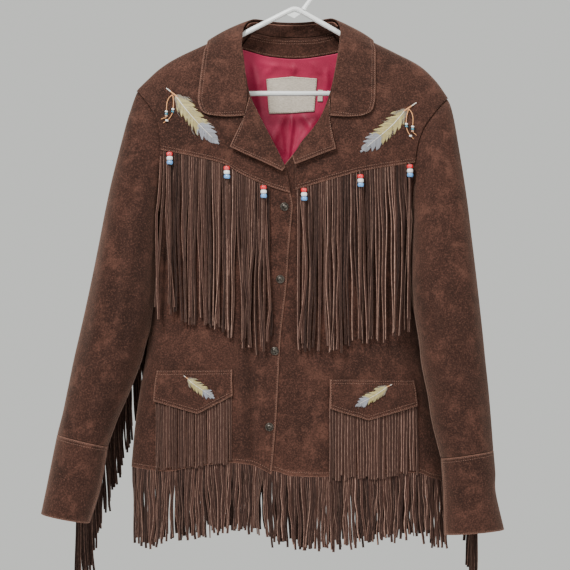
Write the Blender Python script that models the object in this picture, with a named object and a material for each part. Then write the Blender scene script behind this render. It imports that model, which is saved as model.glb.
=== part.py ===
"""A fringed suede western jacket, hung on a plastic tube hanger.

Metres, +Z up. The origin is the inside top of the hanger's hook, where the rod goes. The front faces -Y and the wall
is towards +Y. Right and left in names are the wearer's, so the right side of the jacket is at -X.
"""

import math
from collections import namedtuple

import bmesh
import bpy
from mathutils import Vector

# Driving sizes
MM = 0.001
SUEDE = 1.6 * MM
COLLAR_SUEDE = 1.8 * MM
LINING_CLOTH = 1.0 * MM
LABEL_CLOTH = 1.0 * MM
SEAM_GAP = 0.3 * MM
LAYER_GAP = 0.9 * MM
INSIDE_GAP = 2.2 * MM
HANGER_TUBE = 8.0 * MM
HOOK_INSIDE_RADIUS = 19.0 * MM
SNAP_DIAMETER = 12.6 * MM
SNAP_HEIGHT = 3.4 * MM
BEAD_DIAMETER = 9.4 * MM
BEAD_HEIGHT = 6.3 * MM
BEAD_SEAT = 3.35 * MM
STRAND_THICKNESS = 1.8 * MM

# The outline was measured on the photograph. One pixel is this long on the jacket, and this pixel is the origin.
PIXEL = 1.5 * MM
ORIGIN_X = 297.0
ORIGIN_Y = -31.0

# The torso's sections: the row, the two side edges, and how far the front and the back stand off the middle, in mm.
# Above the underarms the edges lie out in the sleeves, so that the armholes stay open.
Torso = namedtuple("Torso", "row right_edge left_edge front back")
TORSO = (
    Torso(20, 112, 460, 42, 46),
    Torso(90, 112, 460, 50, 45),
    Torso(140, 114, 458, 56, 43),
    Torso(172, 121, 450, 57, 43),
    Torso(192, 133, 436, 57, 43),
    Torso(205, 147, 422, 57, 43),
    Torso(214, 157, 414, 57, 43),
    Torso(218, 157, 410.5, 57, 43),
    Torso(264, 156, 410.5, 58, 43),
    Torso(292, 154.4, 412, 58, 43),
    Torso(322, 152, 415.5, 57, 42),
    Torso(356, 146.9, 421, 56, 42),
    Torso(390, 140.6, 428, 55, 42),
    Torso(426, 135.6, 435, 54, 42),
    Torso(467, 131.8, 444, 54, 42),
    Torso(482, 131.2, 446, 54, 42),
    Torso(700, 130, 448, 54, 42),
)
SIDE_POWER = 2.6
SHOULDER_FALL = 90.0

# The shoulder line, carried on across the neck.
Point = namedtuple("Point", "x y")
RIDGE = (
    Point(110, 128), Point(137, 91.5), Point(150, 78.5), Point(160, 69.5), Point(174.5, 60), Point(207, 44.5),
    Point(225, 36.3), Point(243, 28), Point(255, 23), Point(272, 18.8), Point(292, 17.5), Point(312, 18.8),
    Point(329, 23.5), Point(341, 27.6), Point(357, 34.8), Point(372, 42.2), Point(396, 54), Point(419.5, 66.5),
    Point(435, 81), Point(447.5, 98.5), Point(470, 132),
)
BACK_NECK = (
    Point(243, 28), Point(255, 31.2), Point(271, 34.4), Point(292, 35.6), Point(312, 35), Point(329, 32),
    Point(341, 27.6),
)

# The fronts' rows, from the shoulder to the hem: the outer end (armhole, then side seam), and the inner end (roll line
# of the lapel, then front edge). Row 7 is the yoke's lower edge and row 11 starts at the underarm.
Row = namedtuple("Row", "outer_x outer_y inner_x inner_y")
RIGHT_ROWS = (
    Row(137, 91.5, 243, 28),
    Row(139.8, 94.8, 242.6, 33.5),
    Row(145, 101, 242, 50),
    Row(151, 109, 246, 75),
    Row(156, 117.5, 251, 98),
    Row(159, 128, 266, 129),
    Row(160.5, 140, 285, 167),
    Row(161, 150.6, 290.5, 194),
    Row(160.5, 168, 292.6, 206),
    Row(159.8, 186, 291.6, 219),
    Row(158.6, 202, 290.5, 231),
    Row(157, 214, 289.6, 242),
    Row(156.8, 236, 288.2, 256),
    Row(156, 264, 286.6, 282),
    Row(154.4, 292, 284.2, 306),
    Row(152, 322, 281, 333),
    Row(146.9, 356, 279.2, 362),
    Row(140.6, 390, 277.7, 392),
    Row(135.6, 426, 275.6, 428),
    Row(131.8, 467.4, 271.5, 473.5),
)
LEFT_ROWS = (
    Row(447.5, 98.5, 341, 27.6),
    Row(444.6, 101.6, 340, 36),
    Row(438.3, 108, 337, 58),
    Row(432, 116, 330, 92),
    Row(425.5, 124.5, 318, 122),
    Row(420.7, 134, 297, 150),
    Row(417, 146, 270, 185),
    Row(414.5, 163, 268, 198),
    Row(413.5, 178, 267.5, 209),
    Row(412.6, 193, 267, 221),
    Row(411.6, 206, 266.5, 232),
    Row(410.5, 218, 266, 243),
    Row(410.5, 238, 265, 258),
    Row(410.5, 264, 263.5, 284),
    Row(412, 292, 262, 308),
    Row(415.5, 322, 260, 335),
    Row(421, 356, 258, 362),
    Row(428, 390, 256.3, 392),
    Row(435, 426, 255, 428),
    Row(446, 481, 254, 469),
)
YOKE_ROW = 7
UNDERARM_ROW = 11
FRONT_COLUMNS = (0, 0.02, 0.06, 0.12, 0.2, 0.3, 0.41, 0.52, 0.63, 0.74, 0.85, 0.93, 1)
BACK_COLUMNS = (0, 0.012, 0.035, 0.075, 0.13, 0.2, 0.27, 0.3414, 0.355, 0.38, 0.43, 0.5, 0.57, 0.62, 0.643, 0.657,
                0.73, 0.8, 0.87, 0.925, 0.965, 0.988, 1)

YOKE_EDGE = {
    "right": (Point(161, 150.6), Point(194.6, 157.3), Point(226, 165.4), Point(239, 173.5), Point(266, 186),
              Point(290.5, 194)),
    "left": (Point(268, 198), Point(293.8, 191), Point(333.6, 179.3), Point(360.4, 172), Point(414.5, 163)),
}
HEM_EDGE = {
    "right": (Point(131.8, 467.4), Point(167.8, 471), Point(191, 466.5), Point(232, 462), Point(253.5, 464.5),
              Point(271.5, 473.5)),
    "left": (Point(254, 469), Point(274.5, 470), Point(291, 475), Point(321, 476), Point(341, 474),
             Point(418.4, 472.5), Point(432.5, 478), Point(446, 481)),
    "back": (Point(131.8, 467.4), Point(190, 470), Point(292, 472), Point(390, 475), Point(446, 481)),
}

# Soft folds in the cloth: a line from one point to another, its half width, and its depth (a ridge is negative).
Fold = namedtuple("Fold", "x0 y0 x1 y1 half_width depth")
FRONT_FOLDS = (
    Fold(248, 270, 253, 470, 5.0, 2.6),
    Fold(236, 300, 238, 450, 8.0, -1.6),
    Fold(205, 330, 190, 455, 9.0, -1.4),
    Fold(318, 300, 322, 465, 9.0, -1.6),
    Fold(345, 330, 372, 462, 7.0, 1.6),
    Fold(190, 92, 214, 140, 10.0, -1.5),
    Fold(392, 100, 372, 148, 10.0, -1.5),
)
BACK_FOLDS = (
    Fold(205, 120, 178, 460, 12.0, -4.0),
    Fold(248, 150, 238, 465, 10.0, 4.0),
    Fold(292, 90, 294, 468, 14.0, -3.0),
    Fold(338, 150, 352, 468, 10.0, 4.0),
    Fold(378, 120, 400, 470, 12.0, -4.0),
)

# The sleeves' rings below the armhole: the outer and the inner point, the middle's depth and half the ring's depth in
# mm, and how far the ring's middle leans to the body.
Ring = namedtuple("Ring", "outer_x outer_y inner_x inner_y middle half_depth lean")
SLEEVE = {
    "right": (
        Ring(133.5, 99.5, 155.8, 223, -3, 43, 9),
        Ring(130, 110, 155.6, 232, -3, 45, 6.5),
        Ring(126, 123, 155.5, 243, -3, 48, 4),
        Ring(118.5, 152, 155.2, 262, -3, 52, 1.5),
        Ring(111, 182, 154.9, 279, -3, 55, 0),
        Ring(105, 210, 154.2, 294, -3, 57, 0),
        Ring(100, 236, 153, 307, -3, 58, 0),
        Ring(95, 261, 151.5, 319, -3, 58, 0),
        Ring(90, 285, 149.4, 331, -2, 57, 0),
        Ring(84.5, 310, 146.2, 344, -1, 56, 0),
        Ring(78.7, 335, 141.6, 360, 0, 54, 0),
        Ring(72.9, 360, 135, 378, 0, 52, 0),
        Ring(67, 389, 126.5, 399, 0, 50, 0),
        Ring(62, 413, 117, 420, 0, 48, 0),
        Ring(56.5, 434.5, 107.5, 446.5, 0, 46, 0),
    ),
    "left": (
        Ring(450.5, 104, 412.2, 227, -7, 43, 9),
        Ring(453, 113, 412, 236, -10, 45, 6.5),
        Ring(455.5, 126, 411.8, 247, -14, 48, 4),
        Ring(459.5, 151, 411.2, 265, -20, 51, 1.5),
        Ring(464, 180, 411, 281, -25, 53, 0),
        Ring(467.8, 207, 411.6, 296, -28, 55, 0),
        Ring(471, 235, 413.2, 309, -29, 56, 0),
        Ring(474, 260, 415, 321, -30, 56, 0),
        Ring(477, 285, 417.3, 334, -30, 55, 0),
        Ring(479.8, 310, 419.2, 347, -30, 54, 0),
        Ring(482.5, 335, 420.7, 362, -30, 52, 0),
        Ring(485, 360, 423.7, 378, -30, 50, 0),
        Ring(488, 388, 427.4, 396, -30, 48, 0),
        Ring(490.6, 418, 431.5, 422, -30, 46, 0),
        Ring(493, 449.5, 440.3, 457.5, -30, 44, 0),
    ),
}
CUFF = {
    "right": (
        Ring(56.4, 434.8, 107.5, 446.8, 0, 46, 0),
        Ring(51.2, 460, 103.5, 472, 0, 45, 0),
        Ring(46, 486, 98, 497, 0, 43, 0),
        Ring(40, 514.7, 89, 524, 0, 41, 0),
    ),
    "left": (
        Ring(493.1, 449.8, 440.4, 457.8, -30, 44, 0),
        Ring(495, 472, 441.9, 479, -30, 43, 0),
        Ring(495.4, 492, 442.8, 499, -30, 41, 0),
        Ring(503.8, 529, 443.5, 534, -30, 40, 0),
    ),
}
FRONT_SEAM_STATION = 10
BACK_SEAM_STATION = {"right": 15, "left": 17}

# The collar's spokes, from one wing's lower edge round the neck to the other: fold, middle and outer edge. The last
# number of each point is its lift off the front in mm, or on a free spoke its depth in mm.
Spoke = namedtuple("Spoke", "where fold middle edge")
COLLAR = (
    Spoke("front", (244.6, 117, 6.0), (226, 118, 5.8), (208.5, 116, 5.4)),
    Spoke("front", (246.2, 110, 6.3), (224, 114, 6.0), (202.5, 112.5, 5.4)),
    Spoke("front", (247.8, 101, 6.8), (222, 105, 6.2), (199, 103, 5.4)),
    Spoke("front", (247.4, 88, 7.2), (222, 92, 6.6), (199.4, 92, 5.4)),
    Spoke("front", (245.8, 72, 7.6), (222, 76, 7.0), (201.2, 77, 5.4)),
    Spoke("front", (244.2, 57, 8.2), (223, 60, 7.4), (203.2, 62, 5.4)),
    Spoke("front", (242.6, 46, 8.8), (223.5, 48.5, 7.6), (205, 52, 5.4)),
    Spoke("free", (242, 36, -26), (224, 38, -21), (206, 45.5, -14)),
    Spoke("free", (243, 29, -14), (227, 30.2, -9), (206.8, 41, -5)),
    Spoke("free", (246.5, 21.5, -2), (231, 26.2, 2), (209, 38.8, 4)),
    Spoke("free", (252, 17.8, 8), (236, 25.5, 13), (212.5, 41, 12)),
    Spoke("free", (258, 17.2, 14), (243, 28.5, 22), (218.5, 49, 25)),
    Spoke("free", (266, 18.2, 20), (253, 34, 32), (233, 61, 40.5)),
    Spoke("free", (278, 19.4, 25), (272, 40, 39), (259, 70, 47)),
    Spoke("free", (292, 19.8, 27), (292, 43, 42), (292, 74, 49)),
    Spoke("free", (306, 19.4, 25), (312, 40, 39), (325, 70, 47)),
    Spoke("free", (318, 18.2, 20), (331, 34, 32), (351, 61, 40.5)),
    Spoke("free", (326, 16.9, 14), (341, 28, 22), (365, 49, 25)),
    Spoke("free", (332.5, 16.8, 8), (348, 25, 13), (369.5, 41, 12)),
    Spoke("free", (337.5, 20.5, -2), (352.5, 26, 2), (372, 38.4, 4)),
    Spoke("free", (340.2, 28.5, -14), (356.5, 30, -9), (374.2, 40.2, -5)),
    Spoke("free", (340.2, 36, -26), (358, 38, -21), (374.6, 45, -14)),
    Spoke("front", (339, 46, 8.8), (357.5, 48.5, 7.6), (374.8, 52, 5.4)),
    Spoke("front", (337.4, 57, 8.2), (356.5, 60, 7.4), (374.8, 62, 5.4)),
    Spoke("front", (334.6, 72, 7.6), (355, 76, 7.0), (374.8, 77, 5.4)),
    Spoke("front", (332, 88, 7.2), (354, 92, 6.6), (374.6, 92, 5.4)),
    Spoke("front", (330.6, 101, 6.8), (353, 105, 6.2), (374, 103, 5.4)),
    Spoke("front", (329.9, 110, 6.3), (350, 114, 6.0), (370.6, 112.5, 5.4)),
    Spoke("front", (329.4, 117, 6.0), (346, 118, 5.8), (361.5, 117, 5.4)),
)
COLLAR_STEPS = 4

# The lapels' rows, from the gorge to the bottom: a point on the roll line and one on the outline.
LAPEL = {
    "right": (Row(244.4, 118.6, 249.6, 98.5), Row(241.3, 125, 256.3, 109.7), Row(236, 136, 262.5, 123.5),
              Row(230.6, 148, 268, 133), Row(245, 155, 273.5, 143.5), Row(263, 163, 279.3, 155.5),
              Row(282, 172, 285.4, 168)),
    "left": (Row(328.7, 118.8, 329.6, 99.5), Row(330.3, 127, 326, 109.8), Row(332.4, 138, 321, 118.3),
             Row(335.4, 149.8, 312, 130.2), Row(319, 156, 304.3, 140.3), Row(304, 162, 297, 150),
             Row(294.8, 165.4, 292, 156.5)),
}
LAPEL_LIFT = {"right": 6.4 * MM, "left": 4.8 * MM}

# The stand and facing inside the back of the neck, the lining below, the label and the small tag on it.
STAND_TOP = ((246.5, 25.6, -1), (250.5, 21.8, 4), (258, 21, 10.5), (267, 21.6, 16.5), (278.5, 22.6, 21.2),
             (292, 23, 23.2), (305.5, 22.6, 21.2), (317, 21.6, 16.5), (325.5, 20.6, 10.5), (333.5, 21, 4),
             (337.5, 25.2, -1))
FACING_EDGE = (Point(236, 44), Point(243.6, 46), Point(269, 52.8), Point(295, 55), Point(338, 49.4), Point(348, 46))
LINING_TOP = (Point(214, 54), Point(236, 45.4), Point(243.6, 47), Point(269, 53.8), Point(295, 56),
              Point(338, 50.4), Point(348, 47.4), Point(370, 54))
LINING_BOTTOM = 236.0
LABEL_TOP = (Point(266, 76.3), Point(291.8, 73.5), Point(317.7, 75.8))
LABEL_BOTTOM = (Point(268.3, 111.9), Point(291.8, 111), Point(314.8, 109.6))
TAG_TOP = (Point(318.6, 87.2), Point(323.4, 87.4))
TAG_BOTTOM = (Point(318, 99.3), Point(322.8, 99.3))

FLAP_TOP = {"right": (Point(157.6, 370.3), Point(233, 368.8)), "left": (Point(329.2, 378.4), Point(413, 380))}
FLAP_BOTTOM = {
    "right": (Point(155, 401), Point(198, 413), Point(233.8, 394.8)),
    "left": (Point(328.8, 407.8), Point(367.8, 419.7), Point(416, 406)),
}

Snap = namedtuple("Snap", "x y")
SNAPS = (Snap(284.4, 207.3), Snap(280.3, 279.3), Snap(275, 350.5), Snap(269.5, 426))
TRIOS = {
    "right": (Point(171.3, 159), Point(227.5, 173.3), Point(263.8, 192.6)),
    "left": (Point(303.7, 195.2), Point(359.3, 181.3), Point(407.8, 171.1)),
}

# The fringes: how many strands, the strands' ends read across the fringe, and the strand's width.
FRINGE_WIDTH = 3.4 * MM
RECEDE = 5.0 * MM
YOKE_STRANDS = 26
YOKE_ENDS = {
    "right": (Point(162, 306), Point(186, 320), Point(221, 327), Point(243, 341), Point(261, 350), Point(268, 341)),
    "left": (Point(297, 352), Point(326, 347), Point(351, 343), Point(396, 334), Point(410, 324)),
}
HEM_STRANDS = {"right": 22, "left": 26, "back": 38}
HEM_ENDS = (Point(131, 535), Point(148, 543), Point(178, 538), Point(227, 529), Point(252, 528), Point(273, 542),
            Point(301, 547), Point(356, 542), Point(398, 535), Point(427, 534), Point(446, 546))
POCKET_STRANDS = 13
POCKET_ENDS = {"right": (Point(156, 469), Point(194, 466), Point(231, 461)),
               "left": (Point(328, 478), Point(370, 476), Point(418, 472))}
SLEEVE_STRANDS = 22
SLEEVE_STRAND_LENGTH = 95.0
FRINGE_FIRST_RING = 5
SLEEVE_FRINGE_OFF = 1.55 * MM

# The hanger, in photo pixels: where the arms' middle lines would meet, their slopes, the tips and the bar.
APEX = Point(295, 6.7)
ARM_SLOPE = {"right": 0.507, "left": 0.570}
ARM_END = {"right": 158.5, "left": 430}
BAR_ROW = 92.8
END_BEND = 8.0
HOOK_FOOT_X = 302.5
HOOK_LEAN = (Point(307.3, 3.2), Point(310.2, -0.5), Point(311.8, -6.5))
WEB_CORNERS = (Point(287.2, 13.9), Point(294.6, 10.9), Point(300.4, 13.1), Point(294.2, 17.2))

SUEDE_COLOUR = (0.105, 0.045, 0.027, 1.0)
FRINGE_COLOUR = (0.11, 0.055, 0.045, 1.0)
LINING_COLOUR = (0.29, 0.018, 0.050, 1.0)
LABEL_COLOUR = (0.66, 0.58, 0.48, 1.0)
HANGER_COLOUR = (0.78, 0.79, 0.77, 1.0)
PEWTER_COLOUR = (0.10, 0.10, 0.095, 1.0)
BEAD_COLOUR = (0.8, 0.78, 0.76, 1.0)


def clear_scene():
    """Removes every object that the file opened with."""
    for thing in list(bpy.data.objects):
        bpy.data.objects.remove(thing, do_unlink=True)


def make_material(name, colour, roughness, metallic=0.0):
    """A plain Principled material."""
    material = bpy.data.materials.new(name)
    material.use_nodes = True
    shader = material.node_tree.nodes["Principled BSDF"]
    shader.inputs["Base Color"].default_value = colour
    shader.inputs["Roughness"].default_value = roughness
    shader.inputs["Metallic"].default_value = metallic
    return material


def read(rows, at, column=1):
    """Reads one column of a table smoothly at a value of its first column, never swinging past the rows."""
    if at <= rows[0][0]:
        return rows[0][column]
    if at >= rows[-1][0]:
        return rows[-1][column]
    k = 0
    while rows[k + 1][0] < at:
        k += 1
    step = rows[k + 1][0] - rows[k][0]
    t = (at - rows[k][0]) / step
    start, end = rows[k][column], rows[k + 1][column]
    slope_in = knot_slope(rows, k, column) * step
    slope_out = knot_slope(rows, k + 1, column) * step
    return ((2 * t ** 3 - 3 * t ** 2 + 1) * start + (t ** 3 - 2 * t ** 2 + t) * slope_in
            + (3 * t ** 2 - 2 * t ** 3) * end + (t ** 3 - t ** 2) * slope_out)


def knot_slope(rows, k, column):
    """The slope at a row that keeps the curve between its neighbours."""
    if k == 0 or k == len(rows) - 1:
        a, b = (0, 1) if k == 0 else (len(rows) - 2, len(rows) - 1)
        return (rows[b][column] - rows[a][column]) / (rows[b][0] - rows[a][0])
    before = (rows[k][column] - rows[k - 1][column]) / (rows[k][0] - rows[k - 1][0])
    after = (rows[k + 1][column] - rows[k][column]) / (rows[k + 1][0] - rows[k][0])
    if before * after <= 0:
        return 0.0
    return 2 * before * after / (before + after)


def along(points, share):
    """The point at a share of the length of a polyline of 2-D or 3-D points."""
    vectors = [Vector(p) for p in points]
    lengths = [(b - a).length for a, b in zip(vectors, vectors[1:])]
    want = share * sum(lengths)
    for a, b, length in zip(vectors, vectors[1:], lengths):
        if want <= length:
            return a.lerp(b, want / length)
        want -= length
    return vectors[-1]


def spot(x, y, depth):
    """A photo point at a depth, in the part's frame."""
    return Vector(((x - ORIGIN_X) * PIXEL, depth, (ORIGIN_Y - y) * PIXEL))


def smooth_step(t):
    """0 below 0, 1 above 1, and a soft rise between."""
    t = min(max(t, 0.0), 1.0)
    return t * t * (3 - 2 * t)


def fold_depth(folds, x, y):
    """What the soft folds take off the cloth at a photo point, in mm."""
    total = 0.0
    for fold in folds:
        start = Vector((fold.x0, fold.y0))
        run = Vector((fold.x1, fold.y1)) - start
        offset = Vector((x, y)) - start
        t = offset.dot(run) / run.length_squared
        across = (offset - run * t).length
        ends = smooth_step(t / 0.25 + 0.5) * smooth_step((1 - t) / 0.25 + 0.5)
        total += fold.depth * ends * math.exp(-(across / fold.half_width) ** 2)
    return total


def body_depth(face, x, y):
    """How deep the outside of the torso lies at a photo point."""
    right, left = read(TORSO, y, 1), read(TORSO, y, 2)
    middle, half = (right + left) / 2, (left - right) / 2
    side = math.sqrt(max(0.0, 1 - min(abs(x - middle) / half, 1) ** SIDE_POWER))
    fall = min(max(y - read(RIDGE, x), 0.0) / SHOULDER_FALL, 1.0)
    share = side * math.sqrt(1 - (1 - fall) ** 2)
    if face == "front":
        return -MM * (read(TORSO, y, 3) - fold_depth(FRONT_FOLDS, x, y)) * share
    return MM * (read(TORSO, y, 4) - fold_depth(BACK_FOLDS, x, y)) * share


def body_normal(face, x, y, on_seam):
    """The outward direction of the torso at a photo point. On a shoulder or side seam it lies in the seam's plane."""
    step = 0.4
    right, left = read(TORSO, y, 1), read(TORSO, y, 2)
    x = min(max(x, right + 2 * step), left - 2 * step)
    y = max(y, read(RIDGE, x) + 2 * step)
    across = spot(x + step, y, body_depth(face, x + step, y)) - spot(x - step, y, body_depth(face, x - step, y))
    down = spot(x, y + step, body_depth(face, x, y + step)) - spot(x, y - step, body_depth(face, x, y - step))
    normal = across.cross(down)
    if (normal.y > 0) == (face == "front"):
        normal.negate()
    if on_seam:
        normal.y = 0.0
    return normal.normalized()


def body_point(face, x, y, lift=0.0, on_seam=False):
    """A point off the torso's outside by a lift. The front and the back are half a seam gap off the middle plane."""
    half_gap = -SEAM_GAP / 2 if face == "front" else SEAM_GAP / 2
    base = spot(x, y, body_depth(face, x, y) + half_gap)
    return base + body_normal(face, x, y, on_seam) * lift


def add_object(name, mesh_data, material):
    """Makes an object of a bmesh, with its faces turned out."""
    bmesh.ops.recalc_face_normals(mesh_data, faces=mesh_data.faces)
    mesh = bpy.data.meshes.new(name)
    mesh_data.to_mesh(mesh)
    mesh_data.free()
    mesh.materials.append(material)
    mesh.shade_smooth()
    mesh.set_sharp_from_angle(angle=math.radians(40))
    thing = bpy.data.objects.new(name, mesh)
    bpy.context.collection.objects.link(thing)
    return thing


def wall(name, outside, inside, material):
    """A closed wall between two grids of points, each a list of rows."""
    body = bmesh.new()
    grids = [[[body.verts.new(p) for p in row] for row in grid] for grid in (outside, inside)]
    out, back = grids
    rows, columns = len(out), len(out[0])
    for grid in grids:
        for i in range(rows - 1):
            for j in range(columns - 1):
                body.faces.new((grid[i][j], grid[i][j + 1], grid[i + 1][j + 1], grid[i + 1][j]))
    rim = [(0, j) for j in range(columns)] + [(i, columns - 1) for i in range(1, rows)]
    rim += [(rows - 1, j) for j in range(columns - 2, -1, -1)] + [(i, 0) for i in range(rows - 2, 0, -1)]
    for (i, j), (k, m) in zip(rim, rim[1:] + rim[:1]):
        body.faces.new((out[i][j], out[k][m], back[k][m], back[i][j]))
    return add_object(name, body, material)


def row_points(row, edge, weight, columns):
    """The photo points of one row, straight from end to end but for a share of an edge's own bend."""
    points = []
    for share in columns:
        x = row.outer_x + (row.inner_x - row.outer_x) * share
        y = row.outer_y + (row.inner_y - row.outer_y) * share
        if weight:
            straight = read(edge, row.outer_x) + (read(edge, row.inner_x) - read(edge, row.outer_x)) * share
            y += (read(edge, x) - straight) * weight
        points.append(Point(x, y))
    return points


def front_grid(side, columns=FRONT_COLUMNS, last_row=None):
    """The photo points of a front, row by row. The shoulder, the yoke edge and the hem bend their own rows."""
    rows = RIGHT_ROWS if side == "right" else LEFT_ROWS
    bends = {0: (RIDGE, 1.0), 1: (RIDGE, 0.95), 2: (RIDGE, 0.75), 3: (RIDGE, 0.45), 4: (RIDGE, 0.2),
             YOKE_ROW: (YOKE_EDGE[side], 1.0), YOKE_ROW + 1: (YOKE_EDGE[side], 0.5),
             len(rows) - 2: (HEM_EDGE[side], 0.6), len(rows) - 1: (HEM_EDGE[side], 1.0)}
    grid = []
    for k, row in enumerate(rows[:last_row]):
        edge, weight = bends.get(k, (None, 0.0))
        grid.append(row_points(row, edge, weight, columns))
    return grid


def front_raise(side, x, y):
    """How far the right front rises to lap over the left front."""
    if side == "left":
        return 0.0
    return (SUEDE + LAYER_GAP) * smooth_step((x - 218) / 32) * smooth_step((y - 100) / 50)


def front_wall(name, side, grid, lift, thickness, material):
    """A wall that follows a front's photo points, seams at the shoulder and side."""
    outside, inside = [], []
    for i, row in enumerate(grid):
        pairs = []
        for j, p in enumerate(row):
            on_seam = i == 0 or (j == 0 and i >= UNDERARM_ROW)
            top = lift + front_raise(side, p.x, p.y)
            pairs.append((body_point("front", p.x, p.y, top, on_seam),
                          body_point("front", p.x, p.y, top - thickness, on_seam)))
        outside.append([a for a, b in pairs])
        inside.append([b for a, b in pairs])
    return wall(name, outside, inside, material)


def build_fronts(suede):
    """The two fronts, shoulder to hem. The right one laps over the left."""
    for side in ("right", "left"):
        front_wall("front_" + side, side, front_grid(side), 0.0, SUEDE, suede)


def build_yokes(suede):
    """A second layer on each front, from the shoulder to the stepped yoke edge."""
    for side in ("right", "left"):
        grid = front_grid(side, last_row=YOKE_ROW + 1)
        kept = []
        for row in grid:
            outer, inner = row[0], row[-1]
            inset = 1.2 if side == "right" else -1.2
            stop = inner.x if side == "right" else max(inner.x, 295.0)
            rail = [Point(p.x + (inset if k == 0 else 0), p.y) for k, p in enumerate(row)]
            rail = [Point(stop + (p.x - inner.x) * (outer.x - stop) / (outer.x - inner.x), p.y) for p in rail]
            kept.append([Point(p.x, read_row(row, p.x)) for p in rail])
        front_wall("yoke_" + side, side, kept, SUEDE + LAYER_GAP, SUEDE, suede)


def read_row(row, x):
    """The height of a row of photo points at x."""
    points = sorted(row)
    for a, b in zip(points, points[1:]):
        if x <= b.x:
            return a.y + (b.y - a.y) * (x - a.x) / (b.x - a.x)
    return points[-1].y


BACK_BENDS = {0: 1.0, 1: 0.95, 2: 0.8, 3: 0.62, 4: 0.46, 5: 0.3, 6: 0.15}


def back_bulge(x, share):
    """How far the shoulder line, or the neck's edge, lies off a straight line between the tops of the armholes."""
    top = read(BACK_NECK, x) if BACK_NECK[0].x <= x <= BACK_NECK[-1].x else read(RIDGE, x)
    return top - (RIGHT_ROWS[0].outer_y + (LEFT_ROWS[0].outer_y - RIGHT_ROWS[0].outer_y) * share)


def back_grid():
    """The photo points of the back, row by row, from the right armhole to the left."""
    grid = []
    last = len(RIGHT_ROWS) - 1
    for k, (right, left) in enumerate(zip(RIGHT_ROWS, LEFT_ROWS)):
        row = []
        for share in BACK_COLUMNS:
            x = right.outer_x + (left.outer_x - right.outer_x) * share
            y = right.outer_y + (left.outer_y - right.outer_y) * share
            bend = BACK_BENDS.get(k, 0.0)
            if bend:
                at_ends = back_bulge(right.outer_x, 0.0) * (1 - share) + back_bulge(left.outer_x, 1.0) * share
                y += (back_bulge(x, share) - at_ends) * bend
            if k == last:
                y = read(HEM_EDGE["back"], x)
            row.append(Point(x, y))
        grid.append(row)
    return grid


def build_back(suede):
    """The back in one piece, with the neck cut out of its top."""
    outside, inside = [], []
    last = len(BACK_COLUMNS) - 1
    for i, row in enumerate(back_grid()):
        pairs = []
        for j, p in enumerate(row):
            on_shoulder = i == 0 and not BACK_NECK[0].x + 0.5 < p.x < BACK_NECK[-1].x - 0.5
            on_seam = on_shoulder or (j in (0, last) and i >= UNDERARM_ROW)
            pairs.append((body_point("back", p.x, p.y, 0.0, on_seam),
                          body_point("back", p.x, p.y, -SUEDE, on_seam)))
        outside.append([a for a, b in pairs])
        inside.append([b for a, b in pairs])
    wall("back", outside, inside, suede)


def armhole_loop(side):
    """The armhole's points on the outside of the torso: down the front from the shoulder, then up the back."""
    rows = RIGHT_ROWS if side == "right" else LEFT_ROWS
    ends = [Point(r.outer_x, r.outer_y) for r in rows[:UNDERARM_ROW + 1]]
    loop = [body_point("front", p.x, p.y) for p in ends[:-1]]
    loop.append(spot(ends[-1].x, ends[-1].y, 0.0))
    loop += [body_point("back", p.x, p.y) for p in reversed(ends[1:-1])]
    loop[0] = spot(ends[0].x, ends[0].y, 0.0)
    return loop


def ring_points(ring, count):
    """The points of a sleeve ring: outer, front, inner and back."""
    outer, inner = spot(ring.outer_x, ring.outer_y, 0.0), spot(ring.inner_x, ring.inner_y, 0.0)
    middle = (outer + inner) / 2 + Vector((0, ring.middle * MM, 0))
    half = (outer - inner) / 2
    lean = Vector((-half.z, 0, half.x)).normalized() * (ring.lean * PIXEL)
    if lean.x * half.x > 0:
        lean.negate()
    points = []
    for k in range(count):
        angle = 2 * math.pi * k / count
        depth = -ring.half_depth * MM * math.sin(angle)
        points.append(middle + half * math.cos(angle) + Vector((0, depth, 0)) + lean * math.sin(angle) ** 2)
    return points


def grid_normals(rings):
    """An outward direction for each point of a tube's rings."""
    count = len(rings[0])
    normals = []
    for i, ring in enumerate(rings):
        above, below = rings[max(i - 1, 0)], rings[min(i + 1, len(rings) - 1)]
        centre = sum(ring, Vector()) / count
        row = []
        for k in range(count):
            along_ring = ring[(k + 1) % count] - ring[k - 1]
            along_tube = below[k] - above[k]
            normal = along_ring.cross(along_tube).normalized()
            if normal.dot(ring[k] - centre) < 0:
                normal.negate()
            row.append(normal)
        normals.append(row)
    return normals


def sleeve_rings(side):
    """The sleeve's rings, the first one just off the armhole."""
    loop = armhole_loop(side)
    away = Vector((-1, 0, 0)) if side == "right" else Vector((1, 0, 0))
    first = [p + away * 4 * SEAM_GAP + Vector((0, 0, SEAM_GAP)) for p in loop]
    return [first] + [ring_points(ring, len(loop)) for ring in SLEEVE[side]]


def tube_part(name, rings, normals, start, stop, material):
    """The part of a tube's wall between two stations, drawn back half a seam gap at each."""
    count = len(rings[0])
    outside, inside = [], []
    for ring, directions in zip(rings, normals):
        line = []
        for k in range(start, stop + 1):
            point, normal = ring[k % count], directions[k % count]
            if k in (start, stop):
                inward = ring[(k + (1 if k == start else -1)) % count] - point
                point = point + inward.normalized() * (SEAM_GAP * (7 if ring is rings[0] else 1.5))
            line.append((point, point - normal * SUEDE))
        outside.append([a for a, b in line])
        inside.append([b for a, b in line])
    return wall(name, outside, inside, material)


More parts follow.
